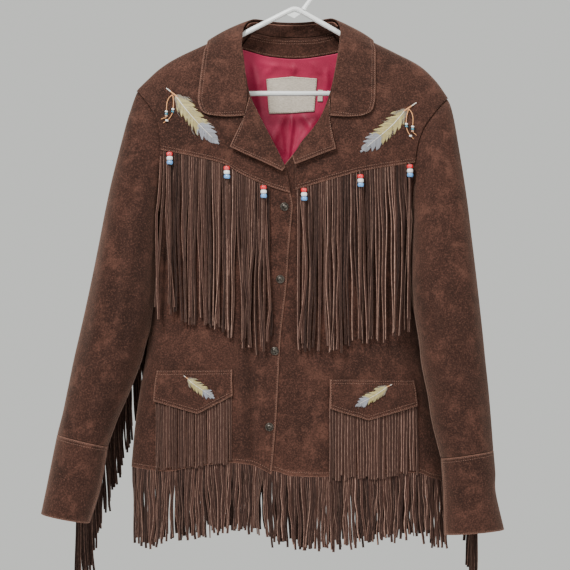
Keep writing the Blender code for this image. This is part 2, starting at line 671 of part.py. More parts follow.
def build_sleeves(suede):
    """Each sleeve and cuff in two pieces, with seams near the front of the inner line and down the back of the arm."""
    for side in ("right", "left"):
        rings = sleeve_rings(side)
        count = len(rings[0])
        normals = grid_normals(rings)
        shoulder = body_normal("front", RIGHT_ROWS[0].outer_x, RIGHT_ROWS[0].outer_y, True)
        if side == "left":
            shoulder = body_normal("front", LEFT_ROWS[0].outer_x, LEFT_ROWS[0].outer_y, True)
        for k in (-1, 0, 1):
            normals[0][k] = (normals[0][k] + shoulder).normalized()
        seam = BACK_SEAM_STATION[side]
        tube_part("sleeve_top_" + side, rings, normals, seam - count, FRONT_SEAM_STATION, suede)
        tube_part("sleeve_under_" + side, rings, normals, FRONT_SEAM_STATION, seam, suede)
        cuff = [ring_points(ring, count) for ring in CUFF[side]]
        normals = grid_normals(cuff)
        tube_part("cuff_top_" + side, cuff, normals, seam - count, FRONT_SEAM_STATION, suede)
        tube_part("cuff_under_" + side, cuff, normals, FRONT_SEAM_STATION, seam, suede)


def curve_through(points, share):
    """A point at a share of the smooth curve through three points."""
    a, b, c = points
    return a * ((1 - share) * (1 - 2 * share)) + b * (4 * share * (1 - share)) + c * (share * (2 * share - 1))


def collar_spoke(spoke):
    """The outside points of one spoke of the collar."""
    ends = []
    for x, y, out in (spoke.fold, spoke.middle, spoke.edge):
        ends.append(body_point("front", x, y, out * MM) if spoke.where == "front" else spot(x, y, out * MM))
    return [curve_through(ends, k / COLLAR_STEPS) for k in range(COLLAR_STEPS + 1)]


def sheet_normals(grid, towards):
    """Directions square to a grid of points, on the side that a function of the point gives."""
    normals = []
    for i, row in enumerate(grid):
        line = []
        for j, point in enumerate(row):
            across = grid[i][min(j + 1, len(row) - 1)] - grid[i][max(j - 1, 0)]
            down = grid[min(i + 1, len(grid) - 1)][j] - grid[max(i - 1, 0)][j]
            normal = across.cross(down).normalized()
            if normal.dot(towards(point)) < 0:
                normal.negate()
            line.append(normal)
        normals.append(line)
    return normals


def away_from_neck(point):
    """The outside of the collar faces away from a point inside the neck and shoulders."""
    centre = spot(292, 62, 0.0)
    return Vector((point.x - centre.x, (point.y - centre.y) * 2.5, point.z - centre.z))


def build_collar(suede):
    """The fall of the collar, one wing round the neck to the other."""
    grid = [collar_spoke(spoke) for spoke in COLLAR]
    normals = sheet_normals(grid, away_from_neck)
    inside = [[p - n * COLLAR_SUEDE for p, n in zip(row, line)] for row, line in zip(grid, normals)]
    wall("collar", grid, inside, suede)


def build_stand(suede):
    """The collar's stand, from the back neck seam up to the fold."""
    top = [spot(x, y, depth * MM) for x, y, depth in STAND_TOP]
    bottom = []
    for k in range(len(top)):
        x = 244.5 + (339.5 - 244.5) * k / (len(top) - 1)
        bottom.append(body_point("back", x, read(BACK_NECK, x)) + Vector((0, 0, 2 * SEAM_GAP)))
    inner, outer = [], []
    centre = spot(292, 28, 0.0)
    for line in (top, bottom):
        inner.append(line)
        outer.append([p + Vector((p.x - centre.x, 1.6 * (p.y - centre.y), 0)).normalized() * SUEDE for p in line])
    wall("collar_stand", outer, inner, suede)


def build_lapels(suede):
    """The lapels, turned out over the yokes."""
    columns = 3
    for side in ("right", "left"):
        outside, inside = [], []
        for row in LAPEL[side]:
            pairs = []
            for k in range(columns + 1):
                share = k / columns
                x = row.outer_x + (row.inner_x - row.outer_x) * share
                y = row.outer_y + (row.inner_y - row.outer_y) * share
                top = LAPEL_LIFT[side] + front_raise(side, x, y) + 1.2 * MM * math.sin(math.pi * share)
                pairs.append((body_point("front", x, y, top), body_point("front", x, y, top - SUEDE)))
            outside.append([a for a, b in pairs])
            inside.append([b for a, b in pairs])
        wall("lapel_" + side, outside, inside, suede)


def laid_sheet(name, face, top_edge, bottom_edge, columns, rows, lift, thickness, material):
    """A sheet between two edges of photo points, laid on the torso. lift is a function of x and the share down."""
    outside, inside = [], []
    for i in range(rows + 1):
        down = i / rows
        pairs = []
        for share in columns:
            a, b = along(top_edge, share), along(bottom_edge, share)
            p = a.lerp(b, down)
            top = lift(p.x, down)
            pairs.append((body_point(face, p.x, p.y, top), body_point(face, p.x, p.y, top - thickness)))
        outside.append([a for a, b in pairs])
        inside.append([b for a, b in pairs])
    return wall(name, outside, inside, material)


def even(count):
    """Even shares from 0 to 1."""
    return [k / count for k in range(count + 1)]


def edge_between(edge, x0, x1, count):
    """Points of an edge table between two places."""
    return [Point(x0 + (x1 - x0) * k / count, read(edge, x0 + (x1 - x0) * k / count)) for k in range(count + 1)]


def build_inside(suede, lining, label):
    """What shows in the neck: the facing, the lining under it, the bare label and its tag."""
    under_back = -(SUEDE + INSIDE_GAP)
    neck = [Point(p.x, p.y + 1.0) for p in edge_between(BACK_NECK, 250, 334, 12)]
    facing = edge_between(FACING_EDGE, 239, 345, 12)
    laid_sheet("neck_facing", "back", neck, facing, even(12), 2, lambda x, down: under_back, SUEDE, suede)
    top = edge_between(LINING_TOP, 216, 368, 14)
    bottom = [Point(p.x, LINING_BOTTOM) for p in top]
    laid_sheet("lining", "back", top, bottom, even(14), 10, lambda x, down: under_back, LINING_CLOTH, lining)
    on_lining = under_back - LINING_CLOTH - LAYER_GAP
    laid_sheet("label", "back", LABEL_TOP, LABEL_BOTTOM, even(4), 2, lambda x, down: on_lining, LABEL_CLOTH, label)
    laid_sheet("tag", "back", TAG_TOP, TAG_BOTTOM, even(1), 1, lambda x, down: on_lining, LABEL_CLOTH, label)


def build_flaps(suede):
    """The pocket flaps, sewn down along the top and standing off over the pocket fringe below."""
    for side in ("right", "left"):
        def lift(x, down, side=side):
            return (SUEDE + LAYER_GAP + 3.0 * MM * smooth_step(down * 2.2)) + front_raise(side, x, 400)
        laid_sheet("flap_" + side, "front", FLAP_TOP[side], FLAP_BOTTOM[side], even(8), 3, lift, SUEDE, suede)


def turned(name, profile, place, axis, material, sides=12):
    """A closed turned body. The profile is (radius, height) from the bottom pole to the top pole."""
    body = bmesh.new()
    turn = axis.to_track_quat("Z", "Y").to_matrix()
    rings = []
    for radius, height in profile:
        if radius == 0:
            rings.append([body.verts.new(place + turn @ Vector((0, 0, height)))])
            continue
        rings.append([body.verts.new(place + turn @ Vector((radius * math.cos(2 * math.pi * k / sides),
                                                            radius * math.sin(2 * math.pi * k / sides), height)))
                      for k in range(sides)])
    for low, high in zip(rings, rings[1:]):
        for k in range(sides):
            corners = [low[k % len(low)], low[(k + 1) % len(low)], high[(k + 1) % len(high)], high[k % len(high)]]
            body.faces.new(list(dict.fromkeys(corners)))
    return add_object(name, body, material)


def build_snaps(pewter):
    """Four domed snap caps near the right front's edge."""
    radius = SNAP_DIAMETER / 2
    profile = ((0, 0), (radius, 0), (radius, 0.25 * SNAP_HEIGHT), (0.8 * radius, 0.7 * SNAP_HEIGHT),
               (0.45 * radius, 0.93 * SNAP_HEIGHT), (0, SNAP_HEIGHT))
    for k, snap in enumerate(SNAPS):
        normal = body_normal("front", snap.x, snap.y, False)
        place = body_point("front", snap.x, snap.y, front_raise("right", snap.x, snap.y) + 2.5 * SEAM_GAP)
        turned("snap_%d" % (k + 1), profile, place, normal, pewter)


def build_trios(glass):
    """Three pony beads on each of six strands, under the yoke edges."""
    radius = BEAD_DIAMETER / 2
    profile = [(0, -1.5 * BEAD_HEIGHT)]
    for k in range(3):
        foot = (k - 1.5) * BEAD_HEIGHT
        profile += [(0.72 * radius, foot), (radius, foot + 0.3 * BEAD_HEIGHT), (radius, foot + 0.7 * BEAD_HEIGHT)]
    profile += [(0.72 * radius, 1.5 * BEAD_HEIGHT), (0, 1.5 * BEAD_HEIGHT)]
    for side, trios in TRIOS.items():
        for k, trio in enumerate(trios):
            lift = BEAD_SEAT + radius + front_raise(side, trio.x, trio.y)
            place = body_point("front", trio.x, trio.y, lift)
            turned("bead_trio_%s_%d" % (side, k + 1), profile, place, Vector((0, 0, 1)), glass, sides=8)


def fringe(name, strands, material):
    """A strip with a row of three-sided strands. Each strand is (top point, [(left, right, back), ...] downwards)."""
    body = bmesh.new()
    tops, tubes = [], []
    for top, rings in strands:
        tops.append(body.verts.new(top))
        tubes.append([[body.verts.new(p) for p in ring] for ring in rings])
    for top, tube in zip(tops, tubes):
        body.faces.new((top, tube[0][0], tube[0][1]))
        for high, low in zip(tube, tube[1:]):
            for k in range(3):
                body.faces.new((high[k], high[(k + 1) % 3], low[(k + 1) % 3], low[k]))
        body.faces.new(tube[-1])
    for k in range(len(tubes) - 1):
        here, there = tubes[k][0], tubes[k + 1][0]
        body.faces.new((tops[k], here[1], there[0], tops[k + 1]))
        body.faces.new((tops[k], tops[k + 1], there[2], here[2]))
        body.faces.new((here[1], here[2], there[2], there[0]))
    body.faces.new((tops[0], tubes[0][0][2], tubes[0][0][0]))
    body.faces.new((tops[-1], tubes[-1][0][1], tubes[-1][0][2]))
    return add_object(name, body, material)


def strand_ring(centre, across, out, width):
    """A strand's three corners about its middle."""
    return (centre - across * width / 2 + out * STRAND_THICKNESS / 2,
            centre + across * width / 2 + out * STRAND_THICKNESS / 2,
            centre - out * STRAND_THICKNESS / 2)


def sway(x, share):
    """How far a strand swings sideways on its way down, in photo pixels. Neighbours swing almost alike."""
    return share * (1.3 * math.sin(x * 0.21) + 0.7 * math.sin(x * 0.057 + 1.0))


def laid_fringe(name, face, edge, ends, count, x0, x1, lift, material, drop=0.35, strip=3.4,
                still_below=None):
    """A fringe that hangs from an edge of photo points and follows the torso down, off it by a lift."""
    strands = []
    for k in range(count):
        x = x0 + (x1 - x0) * (k + 0.5) / count
        root, end = read(edge, x), read(ends, x)
        top_row = root + drop
        rings = []
        first_depth = 0.0
        for share in (0.0, 0.5, 1.0):
            row = top_row + strip + (end - top_row - strip) * share
            at = x + sway(x, share)
            level = row if still_below is None else min(row, still_below(at))
            out = body_normal(face, at, level, False)
            out = Vector((out.x, out.y, 0)).normalized()
            depth = body_depth(face, at, level)
            if share and abs(depth) < abs(first_depth):
                depth += (first_depth - depth) * max(0.0, 1 - RECEDE / abs(first_depth - depth))
            first_depth = depth if share == 0 else first_depth
            centre = spot(at, row, depth) + out * lift(at, share)
            across = Vector((0, 0, 1)).cross(out) if face == "front" else out.cross(Vector((0, 0, 1)))
            if across.x < 0:
                across.negate()
            rings.append(strand_ring(centre, across, out, FRINGE_WIDTH * (1 - 0.15 * share)))
        out = body_normal(face, x, top_row, False)
        out = Vector((out.x, out.y, 0)).normalized()
        top = spot(x, top_row, body_depth(face, x, top_row)) + out * lift(x, 0.0)
        strands.append((top, rings))
    return fringe(name, strands, material)


def build_yoke_fringes(suede):
    """The long fringe that hangs from under each yoke edge."""
    spans = {"right": (162.5, 269.5), "left": (297.5, 409.5)}
    for side in ("right", "left"):
        x0, x1 = spans[side]

        def lift(x, share, side=side):
            return LAYER_GAP + STRAND_THICKNESS / 2 + 3.2 * MM * smooth_step(3 * share) + front_raise(side, x, 200)
        laid_fringe("fringe_yoke_" + side, "front", YOKE_EDGE[side], YOKE_ENDS[side], YOKE_STRANDS, x0, x1, lift,
                    suede)


def build_pocket_fringes(suede):
    """The cut fringe panels that hang from under the pocket flaps."""
    spans = {"right": (156.5, 231), "left": (329, 417)}
    for side in ("right", "left"):
        x0, x1 = spans[side]
        root = 389.0 if side == "right" else 397.0
        edge = (Point(x0, root), Point(x1, root))

        def lift(x, share, side=side):
            return LAYER_GAP + STRAND_THICKNESS / 2 + 0.6 * MM * share + front_raise(side, x, 400)
        laid_fringe("fringe_pocket_" + side, "front", edge, POCKET_ENDS[side], POCKET_STRANDS, x0, x1, lift, suede)


def build_hem_fringes(suede):
    """The fringe round the hem: two fronts and the back."""
    spans = {"right": (133.5, 270.5), "left": (274.5, 444), "back": (134.5, 443)}
    for part, (x0, x1) in spans.items():
        face, drop = ("back", 0.4) if part == "back" else ("front", 1.2)

        def lift(x, share, part=part):
            rise = front_raise("right", x, 470) if part == "right" else 0.0
            return rise - SUEDE / 2

        def hem(x, part=part):
            return read(HEM_EDGE[part], x)
        laid_fringe("fringe_hem_" + part, face, HEM_EDGE[part], HEM_ENDS, HEM_STRANDS[part], x0, x1, lift, suede,
                    drop=drop, still_below=hem)


def build_sleeve_fringes(suede):
    """The fringe sewn in the back of each arm, from above the elbow to the end of the cuff."""
    for side in ("right", "left"):
        count = len(armhole_loop(side))
        seam = BACK_SEAM_STATION[side]
        rings = [ring_points(r, count) for r in SLEEVE[side] + CUFF[side][1:]]
        path = [ring[seam] for ring in rings[FRINGE_FIRST_RING:]]
        step = 1 / SLEEVE_STRANDS
        strands = []
        for k in range(SLEEVE_STRANDS):
            root = along(path, (k + 0.5) * step) + Vector((0, SLEEVE_FRINGE_OFF, 0))
            ahead = along(path, min((k + 0.8) * step, 1.0)) - along(path, (k + 0.2) * step)
            across = Vector((ahead.x, ahead.y, ahead.z)).normalized()
            flat = Vector((1, 0, 0)) if across.x > 0 else Vector((-1, 0, 0))
            drop = Vector((0, 0, -SLEEVE_STRAND_LENGTH * PIXEL))
            swing = Vector((0.9 * PIXEL * math.sin(k * 0.9), 0, 0))
            wide = FRINGE_WIDTH * 0.7
            rings_down = [strand_ring(root, across, Vector((0, 1, 0)), wide)]
            for share, turn in ((0.12, flat), (0.55, flat), (1.0, flat)):
                rings_down.append(strand_ring(root + drop * share + swing * share, turn, Vector((0, 1, 0)), wide))
            strands.append((root + Vector((0, 0.4 * MM, 4 * MM)), rings_down))
        fringe("fringe_sleeve_" + side, strands, suede)


def tube_object(name, points, radius, closed, plastic, radii=None):
    """A round tube along a list of points."""
    curve = bpy.data.curves.new(name, "CURVE")
    curve.dimensions = "3D"
    curve.bevel_depth = radius
    curve.bevel_resolution = 3
    curve.use_fill_caps = not closed
    spline = curve.splines.new("POLY")
    spline.points.add(len(points) - 1)
    for k, (target, point) in enumerate(zip(spline.points, points)):
        target.co = (point.x, point.y, point.z, 1.0)
        target.radius = radii[k] if radii else 1.0
    spline.use_cyclic_u = closed
    curve.materials.append(plastic)
    thing = bpy.data.objects.new(name, curve)
    bpy.context.collection.objects.link(thing)
    return thing


def bend(before, corner, after, radius, count):
    """Points of a round bend in place of a corner."""
    back = (before - corner).normalized()
    ahead = (after - corner).normalized()
    half = back.angle(ahead) / 2
    middle = corner + (back + ahead).normalized() * (radius / math.sin(half))
    start = corner + back * (radius / math.tan(half)) - middle
    end = corner + ahead * (radius / math.tan(half)) - middle
    start, end = start.normalized(), end.normalized()
    return [middle + start.slerp(end, k / count) * radius for k in range(count + 1)]


def hanger_path():
    """The hanger's closed middle line: apex, right arm, right end, bar, left end and left arm."""
    apex = spot(APEX.x, APEX.y, 0.0)
    ends = {}
    for side, sign in (("right", -1), ("left", 1)):
        reach = abs(ARM_END[side] - APEX.x)
        shoulder = spot(ARM_END[side], APEX.y + ARM_SLOPE[side] * reach, 0.0)
        foot = spot(ARM_END[side] - sign * 2.0, BAR_ROW, 0.0)
        ends[side] = (shoulder, foot)
    (right_top, right_foot), (left_top, left_foot) = ends["right"], ends["left"]
    loop = bend(left_top, apex, right_top, 14 * MM, 5)
    loop += bend(apex, right_top, right_foot, END_BEND * MM, 4)
    loop += bend(right_top, right_foot, left_foot, END_BEND * MM, 4)
    loop += bend(right_foot, left_foot, left_top, END_BEND * MM, 4)
    loop += bend(left_foot, left_top, apex, END_BEND * MM, 4)
    return loop


def hook_path():
    """The hook's middle line: out of the apex, up and round over the rod, to a tip on the other side."""
    turn = HOOK_INSIDE_RADIUS + HANGER_TUBE / 2
    centre = Vector((0, 0, -HOOK_INSIDE_RADIUS))
    slope = ARM_SLOPE["left"]
    out_of_arm = Vector((slope, 0, 1)).normalized()
    on_arm = spot(HOOK_FOOT_X, APEX.y + slope * (HOOK_FOOT_X - APEX.x), 0.0)
    foot = on_arm + out_of_arm * (HANGER_TUBE / 2 + SEAM_GAP)
    path = [foot, foot + out_of_arm * (3 * MM)]
    path += [spot(p.x, p.y, 0.0) for p in HOOK_LEAN]
    for degrees in range(-14, 211, 14):
        angle = math.radians(degrees)
        path.append(centre + Vector((math.cos(angle), 0, math.sin(angle))) * turn)
    return path


def build_hanger(plastic):
    """The tube hanger that holds the jacket up, its hook, and the small web under the apex."""
    radius = HANGER_TUBE / 2
    tube_object("hanger_frame", hanger_path(), radius, True, plastic)
    path = hook_path()
    radii = [1.15, 1.1, 1.0] + [1.0] * (len(path) - 3)
    tube_object("hanger_hook", path, radius * 0.92, False, plastic, radii)
    body = bmesh.new()
    faces = [[body.verts.new(spot(p.x, p.y, depth)) for p in WEB_CORNERS] for depth in (-2 * MM, 2 * MM)]
    for face in faces:
        body.faces.new(face)
    for k in range(4):
        body.faces.new((faces[0][k], faces[0][(k + 1) % 4], faces[1][(k + 1) % 4], faces[1][k]))
    add_object("hanger_web", body, plastic)


def main():
    clear_scene()
    suede = make_material("suede", SUEDE_COLOUR, 0.9)
    fringe_suede = make_material("fringe_suede", FRINGE_COLOUR, 0.9)
    lining = make_material("lining", LINING_COLOUR, 0.45)
    label = make_material("label", LABEL_COLOUR, 0.8)
    plastic = make_material("plastic", HANGER_COLOUR, 0.35)
    pewter = make_material("pewter", PEWTER_COLOUR, 0.35, 0.9)
    glass = make_material("bead_glass", BEAD_COLOUR, 0.3)
    build_fronts(suede)
    build_yokes(suede)
    build_back(suede)
    build_sleeves(suede)
    build_collar(suede)
    build_stand(suede)
    build_lapels(suede)
    build_inside(suede, lining, label)
    build_flaps(suede)
    build_snaps(pewter)
    build_trios(glass)
    build_yoke_fringes(fringe_suede)
    build_pocket_fringes(fringe_suede)
    build_hem_fringes(fringe_suede)
    build_sleeve_fringes(fringe_suede)
    build_hanger(plastic)


main()
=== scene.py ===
# %% [markdown]
# # A fringed suede jacket on a tube hanger
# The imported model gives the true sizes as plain, thin walls. This lesson dresses it: every panel is laid again on the
# same surface with a much finer mesh, soft creases and a worn edge, and then gets its nap, its seams, its many cut
# strands and its beads. Right and left are the wearer's, the front faces -Y and the hanger's hook is at the origin.

# %% Load the frame
import math
from collections import namedtuple

import bmesh
import bpy
import numpy as np
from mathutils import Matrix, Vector


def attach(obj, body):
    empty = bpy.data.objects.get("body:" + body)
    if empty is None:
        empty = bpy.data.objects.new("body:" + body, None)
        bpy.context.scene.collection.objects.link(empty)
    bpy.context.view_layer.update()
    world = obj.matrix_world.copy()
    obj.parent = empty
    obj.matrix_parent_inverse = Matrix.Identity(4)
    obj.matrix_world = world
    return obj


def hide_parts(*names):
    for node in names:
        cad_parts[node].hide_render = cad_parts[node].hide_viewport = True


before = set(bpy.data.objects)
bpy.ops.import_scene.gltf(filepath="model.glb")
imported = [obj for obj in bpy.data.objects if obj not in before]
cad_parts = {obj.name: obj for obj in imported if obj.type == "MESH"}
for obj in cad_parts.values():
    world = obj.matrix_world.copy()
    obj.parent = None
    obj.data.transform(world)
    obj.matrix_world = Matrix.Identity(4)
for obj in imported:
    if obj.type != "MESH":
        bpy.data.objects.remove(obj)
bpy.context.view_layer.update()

# %% [markdown]
# ## The camera
# The picture was taken straight on. A long lens far away keeps the sleeves from spreading, so a place in the picture
# is very nearly a place on the jacket: 570 pixels across stand for 855 mm at the jacket's middle.

# %% Camera
MM = 0.001
PIXEL = 1.5 * MM
ORIGIN_X, ORIGIN_Y = 297.0, -31.0
FRAME_PIXELS = 570
CAMERA_AWAY = 5.0
SENSOR = 36.0
picture_middle = Vector(((FRAME_PIXELS / 2 - ORIGIN_X) * PIXEL, -0.02, (ORIGIN_Y - FRAME_PIXELS / 2) * PIXEL))
lens = bpy.data.cameras.new("camera")
lens.sensor_width = SENSOR
lens.lens = SENSOR * CAMERA_AWAY / (FRAME_PIXELS * PIXEL)
camera = bpy.data.objects.new("camera", lens)
camera.location = picture_middle - Vector((0, CAMERA_AWAY, 0))
camera.rotation_euler = (math.radians(90), 0, 0)
bpy.context.collection.objects.link(camera)
bpy.context.scene.camera = camera
print("the lens is", round(lens.lens), "mm")

# %% [markdown]
# ## Floor and light
# A pale round floor lies under the jacket, too small to show from the front. One soft lamp hangs high in front and a
# little to the left, so that every flap, lapel and fringe throws a shadow down. A weak one fills from the other side, a
# third lights the back, and the pale sky does the rest.

# %% Floor and light
FLOOR_HEIGHT = -1.06


def area_light(name, place, size, power):
    """A square lamp that faces the jacket."""
    light = bpy.data.lights.new(name, "AREA")
    light.shape = "SQUARE"
    light.size = size
    light.energy = power
    lamp = bpy.data.objects.new(name, light)
    lamp.location = place
    lamp.rotation_euler = (picture_middle - Vector(place)).to_track_quat("-Z", "Y").to_euler()
    bpy.context.collection.objects.link(lamp)


area_light("key_light", (-1.0, -1.85, 1.6), 0.7, 108)
area_light("fill_light", (2.1, -2.2, 0.3), 2.0, 34)
area_light("back_light", (0.6, 2.6, 1.4), 1.8, 30)
world = bpy.data.worlds.new("pale_room")
world.use_nodes = True
world.node_tree.nodes["Background"].inputs["Color"].default_value = (0.74, 0.75, 0.72, 1)
world.node_tree.nodes["Background"].inputs["Strength"].default_value = 1.0
bpy.context.scene.world = world
floor_mesh = bmesh.new()
bmesh.ops.create_circle(floor_mesh, cap_ends=True, segments=96, radius=0.8)
floor_data = bpy.data.meshes.new("floor")
floor_mesh.to_mesh(floor_data)
floor_mesh.free()
floor = bpy.data.objects.new("floor", floor_data)
floor.location = (picture_middle.x, 0, FLOOR_HEIGHT)
bpy.context.collection.objects.link(floor)
print("lights and floor are up")

# %% [markdown]
# ## Helpers for materials
# A material is a small graph. These helpers add a noise, a mix of two colours, a change of range and a bump, so that
# each finish below reads as a short recipe. Every pattern follows Object coordinates, and the pieces sit at the origin,
# so the patterns never slide.

# %% Material helpers


def start_material(name, roughness, **constants):
    """A Principled material, its node tree, its shader and Object coordinates. Constants go on the shader's sockets."""
    material = bpy.data.materials.new(name)
    material.use_nodes = True
    tree = material.node_tree
    shader = tree.nodes["Principled BSDF"]
    shader.inputs["Roughness"].default_value = roughness
    for label, value in constants.items():
        shader.inputs[label.replace("_", " ")].default_value = value
    where = tree.nodes.new("ShaderNodeTexCoord").outputs["Object"]
    return material, tree, shader, where


def plug(tree, value, socket):
    """Links an output to a socket, or sets a plain value there."""
    if isinstance(value, bpy.types.NodeSocket):
        tree.links.new(value, socket)
    else:
        socket.default_value = value


def stretched(tree, where, scale):
    """Coordinates squeezed differently along each axis."""
    mapping = tree.nodes.new("ShaderNodeMapping")
    plug(tree, where, mapping.inputs["Vector"])
    mapping.inputs["Scale"].default_value = scale
    return mapping.outputs["Vector"]


def noise(tree, where, scale, detail=3.0, rough=0.55):
    """Cloudy noise between 0 and 1."""
    made = tree.nodes.new("ShaderNodeTexNoise")
    plug(tree, where, made.inputs["Vector"])
    made.inputs["Scale"].default_value = scale
    made.inputs["Detail"].default_value = detail
    made.inputs["Roughness"].default_value = rough
    return made.outputs["Fac"]


def spread(tree, value, low, high, to_low=0.0, to_high=1.0):
    """Takes a range of a value to another range, and holds it there."""
    made = tree.nodes.new("ShaderNodeMapRange")
    plug(tree, value, made.inputs["Value"])
    for label, number in (("From Min", low), ("From Max", high), ("To Min", to_low), ("To Max", to_high)):
        made.inputs[label].default_value = number
    return made.outputs["Result"]


def math_of(tree, kind, a, b):
    """A sum, product or other step of arithmetic."""
    made = tree.nodes.new("ShaderNodeMath")
    made.operation = kind
    plug(tree, a, made.inputs[0])
    plug(tree, b, made.inputs[1])
    return made.outputs[0]


def blend_colours(tree, share, a, b, how="MIX"):
    """Two colours mixed by a share."""
    made = tree.nodes.new("ShaderNodeMix")
    made.data_type = "RGBA"
    made.blend_type = how
    plug(tree, share, made.inputs[0])
    plug(tree, a, made.inputs[6])
    plug(tree, b, made.inputs[7])
    return made.outputs[2]


def attribute(tree, name):
    """A number stored on the mesh."""
    made = tree.nodes.new("ShaderNodeAttribute")
    made.attribute_name = name
    return made.outputs["Fac"]


def finished(tree, shader, colour, height, strength, distance):
    """Gives the shader its colour, and raises the surface a little by a height."""
    plug(tree, colour, shader.inputs["Base Color"])
    made = tree.nodes.new("ShaderNodeBump")
    made.inputs["Strength"].default_value = strength
    made.inputs["Distance"].default_value = distance
    plug(tree, height, made.inputs["Height"])
    plug(tree, made.outputs["Normal"], shader.inputs["Normal"])


# %% [markdown]
# ## Suede
# Suede is the split side of a hide: no shine, a short nap that catches light at a grazing angle, clouds of darker and
# redder dye, fine speckle, and paler, rubbed edges. The clouds and the speckle are noises of very different scales,
# the nap's glow is the shader's sheen, and the rub comes from a number stored along each panel's free edges. A second
# stored number is painted shade: it darkens the colour where the arms and the torso fall into shade, and it paints the
# shadows of the collar and the lapels.

# %% Suede


def suede_finish(name, dark, middle, light, rubbed):
    """Napped hide with clouds, speckle, rubbed edges and painted shade."""
    material, tree, shader, where = start_material(
        name, 0.93, Sheen_Weight=0.22, Sheen_Roughness=0.45, Sheen_Tint=(0.85, 0.55, 0.42, 1), Specular_IOR_Level=0.18)
    clouds = noise(tree, where, 9.0, 3.0)
    patches = noise(tree, where, 46.0, 4.0, 0.6)
    speckle = noise(tree, where, 430.0, 4.0, 0.75)
    fibre = noise(tree, stretched(tree, where, (1.0, 1.0, 0.5)), 1500.0, 2.0)
    blotches = noise(tree, where, 24.0, 4.0, 0.55)
    colour = blend_colours(tree, spread(tree, clouds, 0.3, 0.7, 0.3, 1.0), dark, middle)
    colour = blend_colours(tree, spread(tree, blotches, 0.47, 0.64, 0.0, 0.62), colour, dark)
    colour = blend_colours(tree, spread(tree, patches, 0.5, 0.7, 0.0, 0.62), colour, light)
    # Painted shade: the stored bands darken the colour where the hide falls into shade or lies in a shadow.
    colour = blend_colours(tree, math_of(tree, "MULTIPLY", attribute(tree, "painted_shade"), 0.75), colour, dark)
    colour = blend_colours(tree, spread(tree, speckle, 0.5, 0.68, 0.0, 0.75), colour, light)
    colour = blend_colours(tree, spread(tree, speckle, 0.5, 0.34, 0.0, 0.8), colour, dark)
    rub = math_of(tree, "MULTIPLY", attribute(tree, "worn"), spread(tree, speckle, 0.3, 0.62, 0.35, 0.9))
    colour = blend_colours(tree, rub, colour, rubbed)
    height = math_of(tree, "ADD", math_of(tree, "MULTIPLY", speckle, 0.8), math_of(tree, "MULTIPLY", fibre, 0.35))
    finished(tree, shader, colour, height, 0.8, 1.0 * MM)
    return material


suede = suede_finish("napped_suede", (0.019, 0.0079, 0.0055, 1), (0.0535, 0.0217, 0.0147, 1),
                     (0.120, 0.0505, 0.0342, 1), (0.24, 0.118, 0.084, 1))
print("suede is mixed")

# %% [markdown]
# ## Cut strands
# A strand is the same hide cut so narrow that its sides show, and the sides are paler than the nap. One side is
# painted paler still than the other, a painted highlight as if the light fell on it. The mesh stores where each point
# lies across its strand, and a tone for each whole strand, so no two neighbours match.

# %% Strand suede


def strand_finish():
    """Suede for cut strands, pale along both sides, and one side paler still as a painted highlight."""
    material, tree, shader, where = start_material(
        "cut_strand_suede", 0.9, Sheen_Weight=0.1, Sheen_Roughness=0.45, Sheen_Tint=(0.9, 0.6, 0.5, 1),
        Specular_IOR_Level=0.18)
    speckle = noise(tree, stretched(tree, where, (1.0, 1.0, 0.25)), 700.0, 3.0, 0.7)
    tone = attribute(tree, "tone")
    colour = blend_colours(tree, tone, (0.009, 0.0044, 0.0035, 1), (0.053, 0.0240, 0.0178, 1))
    colour = blend_colours(tree, spread(tree, speckle, 0.45, 0.75, 0.0, 0.5), colour, (0.086, 0.042, 0.032, 1))
    place = attribute(tree, "side")
    # The cut sides are paler, and one side gets the full pale colour while the other gets less than half: a painted
    # highlight.
    side = math_of(tree, "ADD", spread(tree, place, 0.8, 0.97, 0.0, 1.0), spread(tree, place, 0.16, 0.02, 0.0, 0.45))
    side = math_of(tree, "MULTIPLY", side, spread(tree, speckle, 0.3, 0.62, 0.25, 1.0))
    side = math_of(tree, "MULTIPLY", side, spread(tree, tone, 0.1, 0.8, 0.2, 1.0))
    colour = blend_colours(tree, side, colour, (0.46, 0.275, 0.21, 1))
    finished(tree, shader, colour, speckle, 0.5, 0.5 * MM)
    return material


strand_suede = strand_finish()

# %% [markdown]
# ## Lining, label, thread, plastic, metal and beads
# The lining is crimson satin, smoother than suede and brighter where it turns to the light. The label is plain woven
# tape. Thread is a light brown twist. The hanger is moulded white plastic with a faint scuff, the snaps are pewter with
# dark hollows, and the pony beads are shiny, in red, white and blue.

# %% Other finishes


def satin_finish():
    """Crimson lining satin with a fine weave."""
    material, tree, shader, where = start_material(
        "crimson_satin", 0.5, Sheen_Weight=0.35, Sheen_Roughness=0.3, Sheen_Tint=(1.0, 0.45, 0.55, 1),
        Specular_IOR_Level=0.35)
    clouds = noise(tree, where, 22.0, 4.0)
    weave = noise(tree, stretched(tree, where, (1.0, 1.0, 0.2)), 1600.0, 2.0)
    colour = blend_colours(tree, spread(tree, clouds, 0.35, 0.65), (0.29, 0.0072, 0.041, 1), (0.435, 0.0135, 0.070, 1))
    colour = blend_colours(tree, spread(tree, weave, 0.4, 0.7, 0.0, 0.3), colour, (0.55, 0.06, 0.115, 1))
    finished(tree, shader, colour, weave, 0.3, 0.25 * MM)
    return material


def tape_finish(name, colour_low, colour_high, scale):
    """Plain woven tape or thread."""
    material, tree, shader, where = start_material(name, 0.8, Sheen_Weight=0.2, Specular_IOR_Level=0.25)
    weave = noise(tree, stretched(tree, where, (0.3, 1.0, 1.0)), scale, 3.0)
    clouds = noise(tree, where, 30.0, 2.0)
    mixed = blend_colours(tree, spread(tree, weave, 0.35, 0.65), colour_low, colour_high)
    mixed = blend_colours(tree, spread(tree, clouds, 0.4, 0.7, 0.0, 0.35), mixed, colour_low)
    finished(tree, shader, mixed, weave, 0.5, 0.3 * MM)
    return material


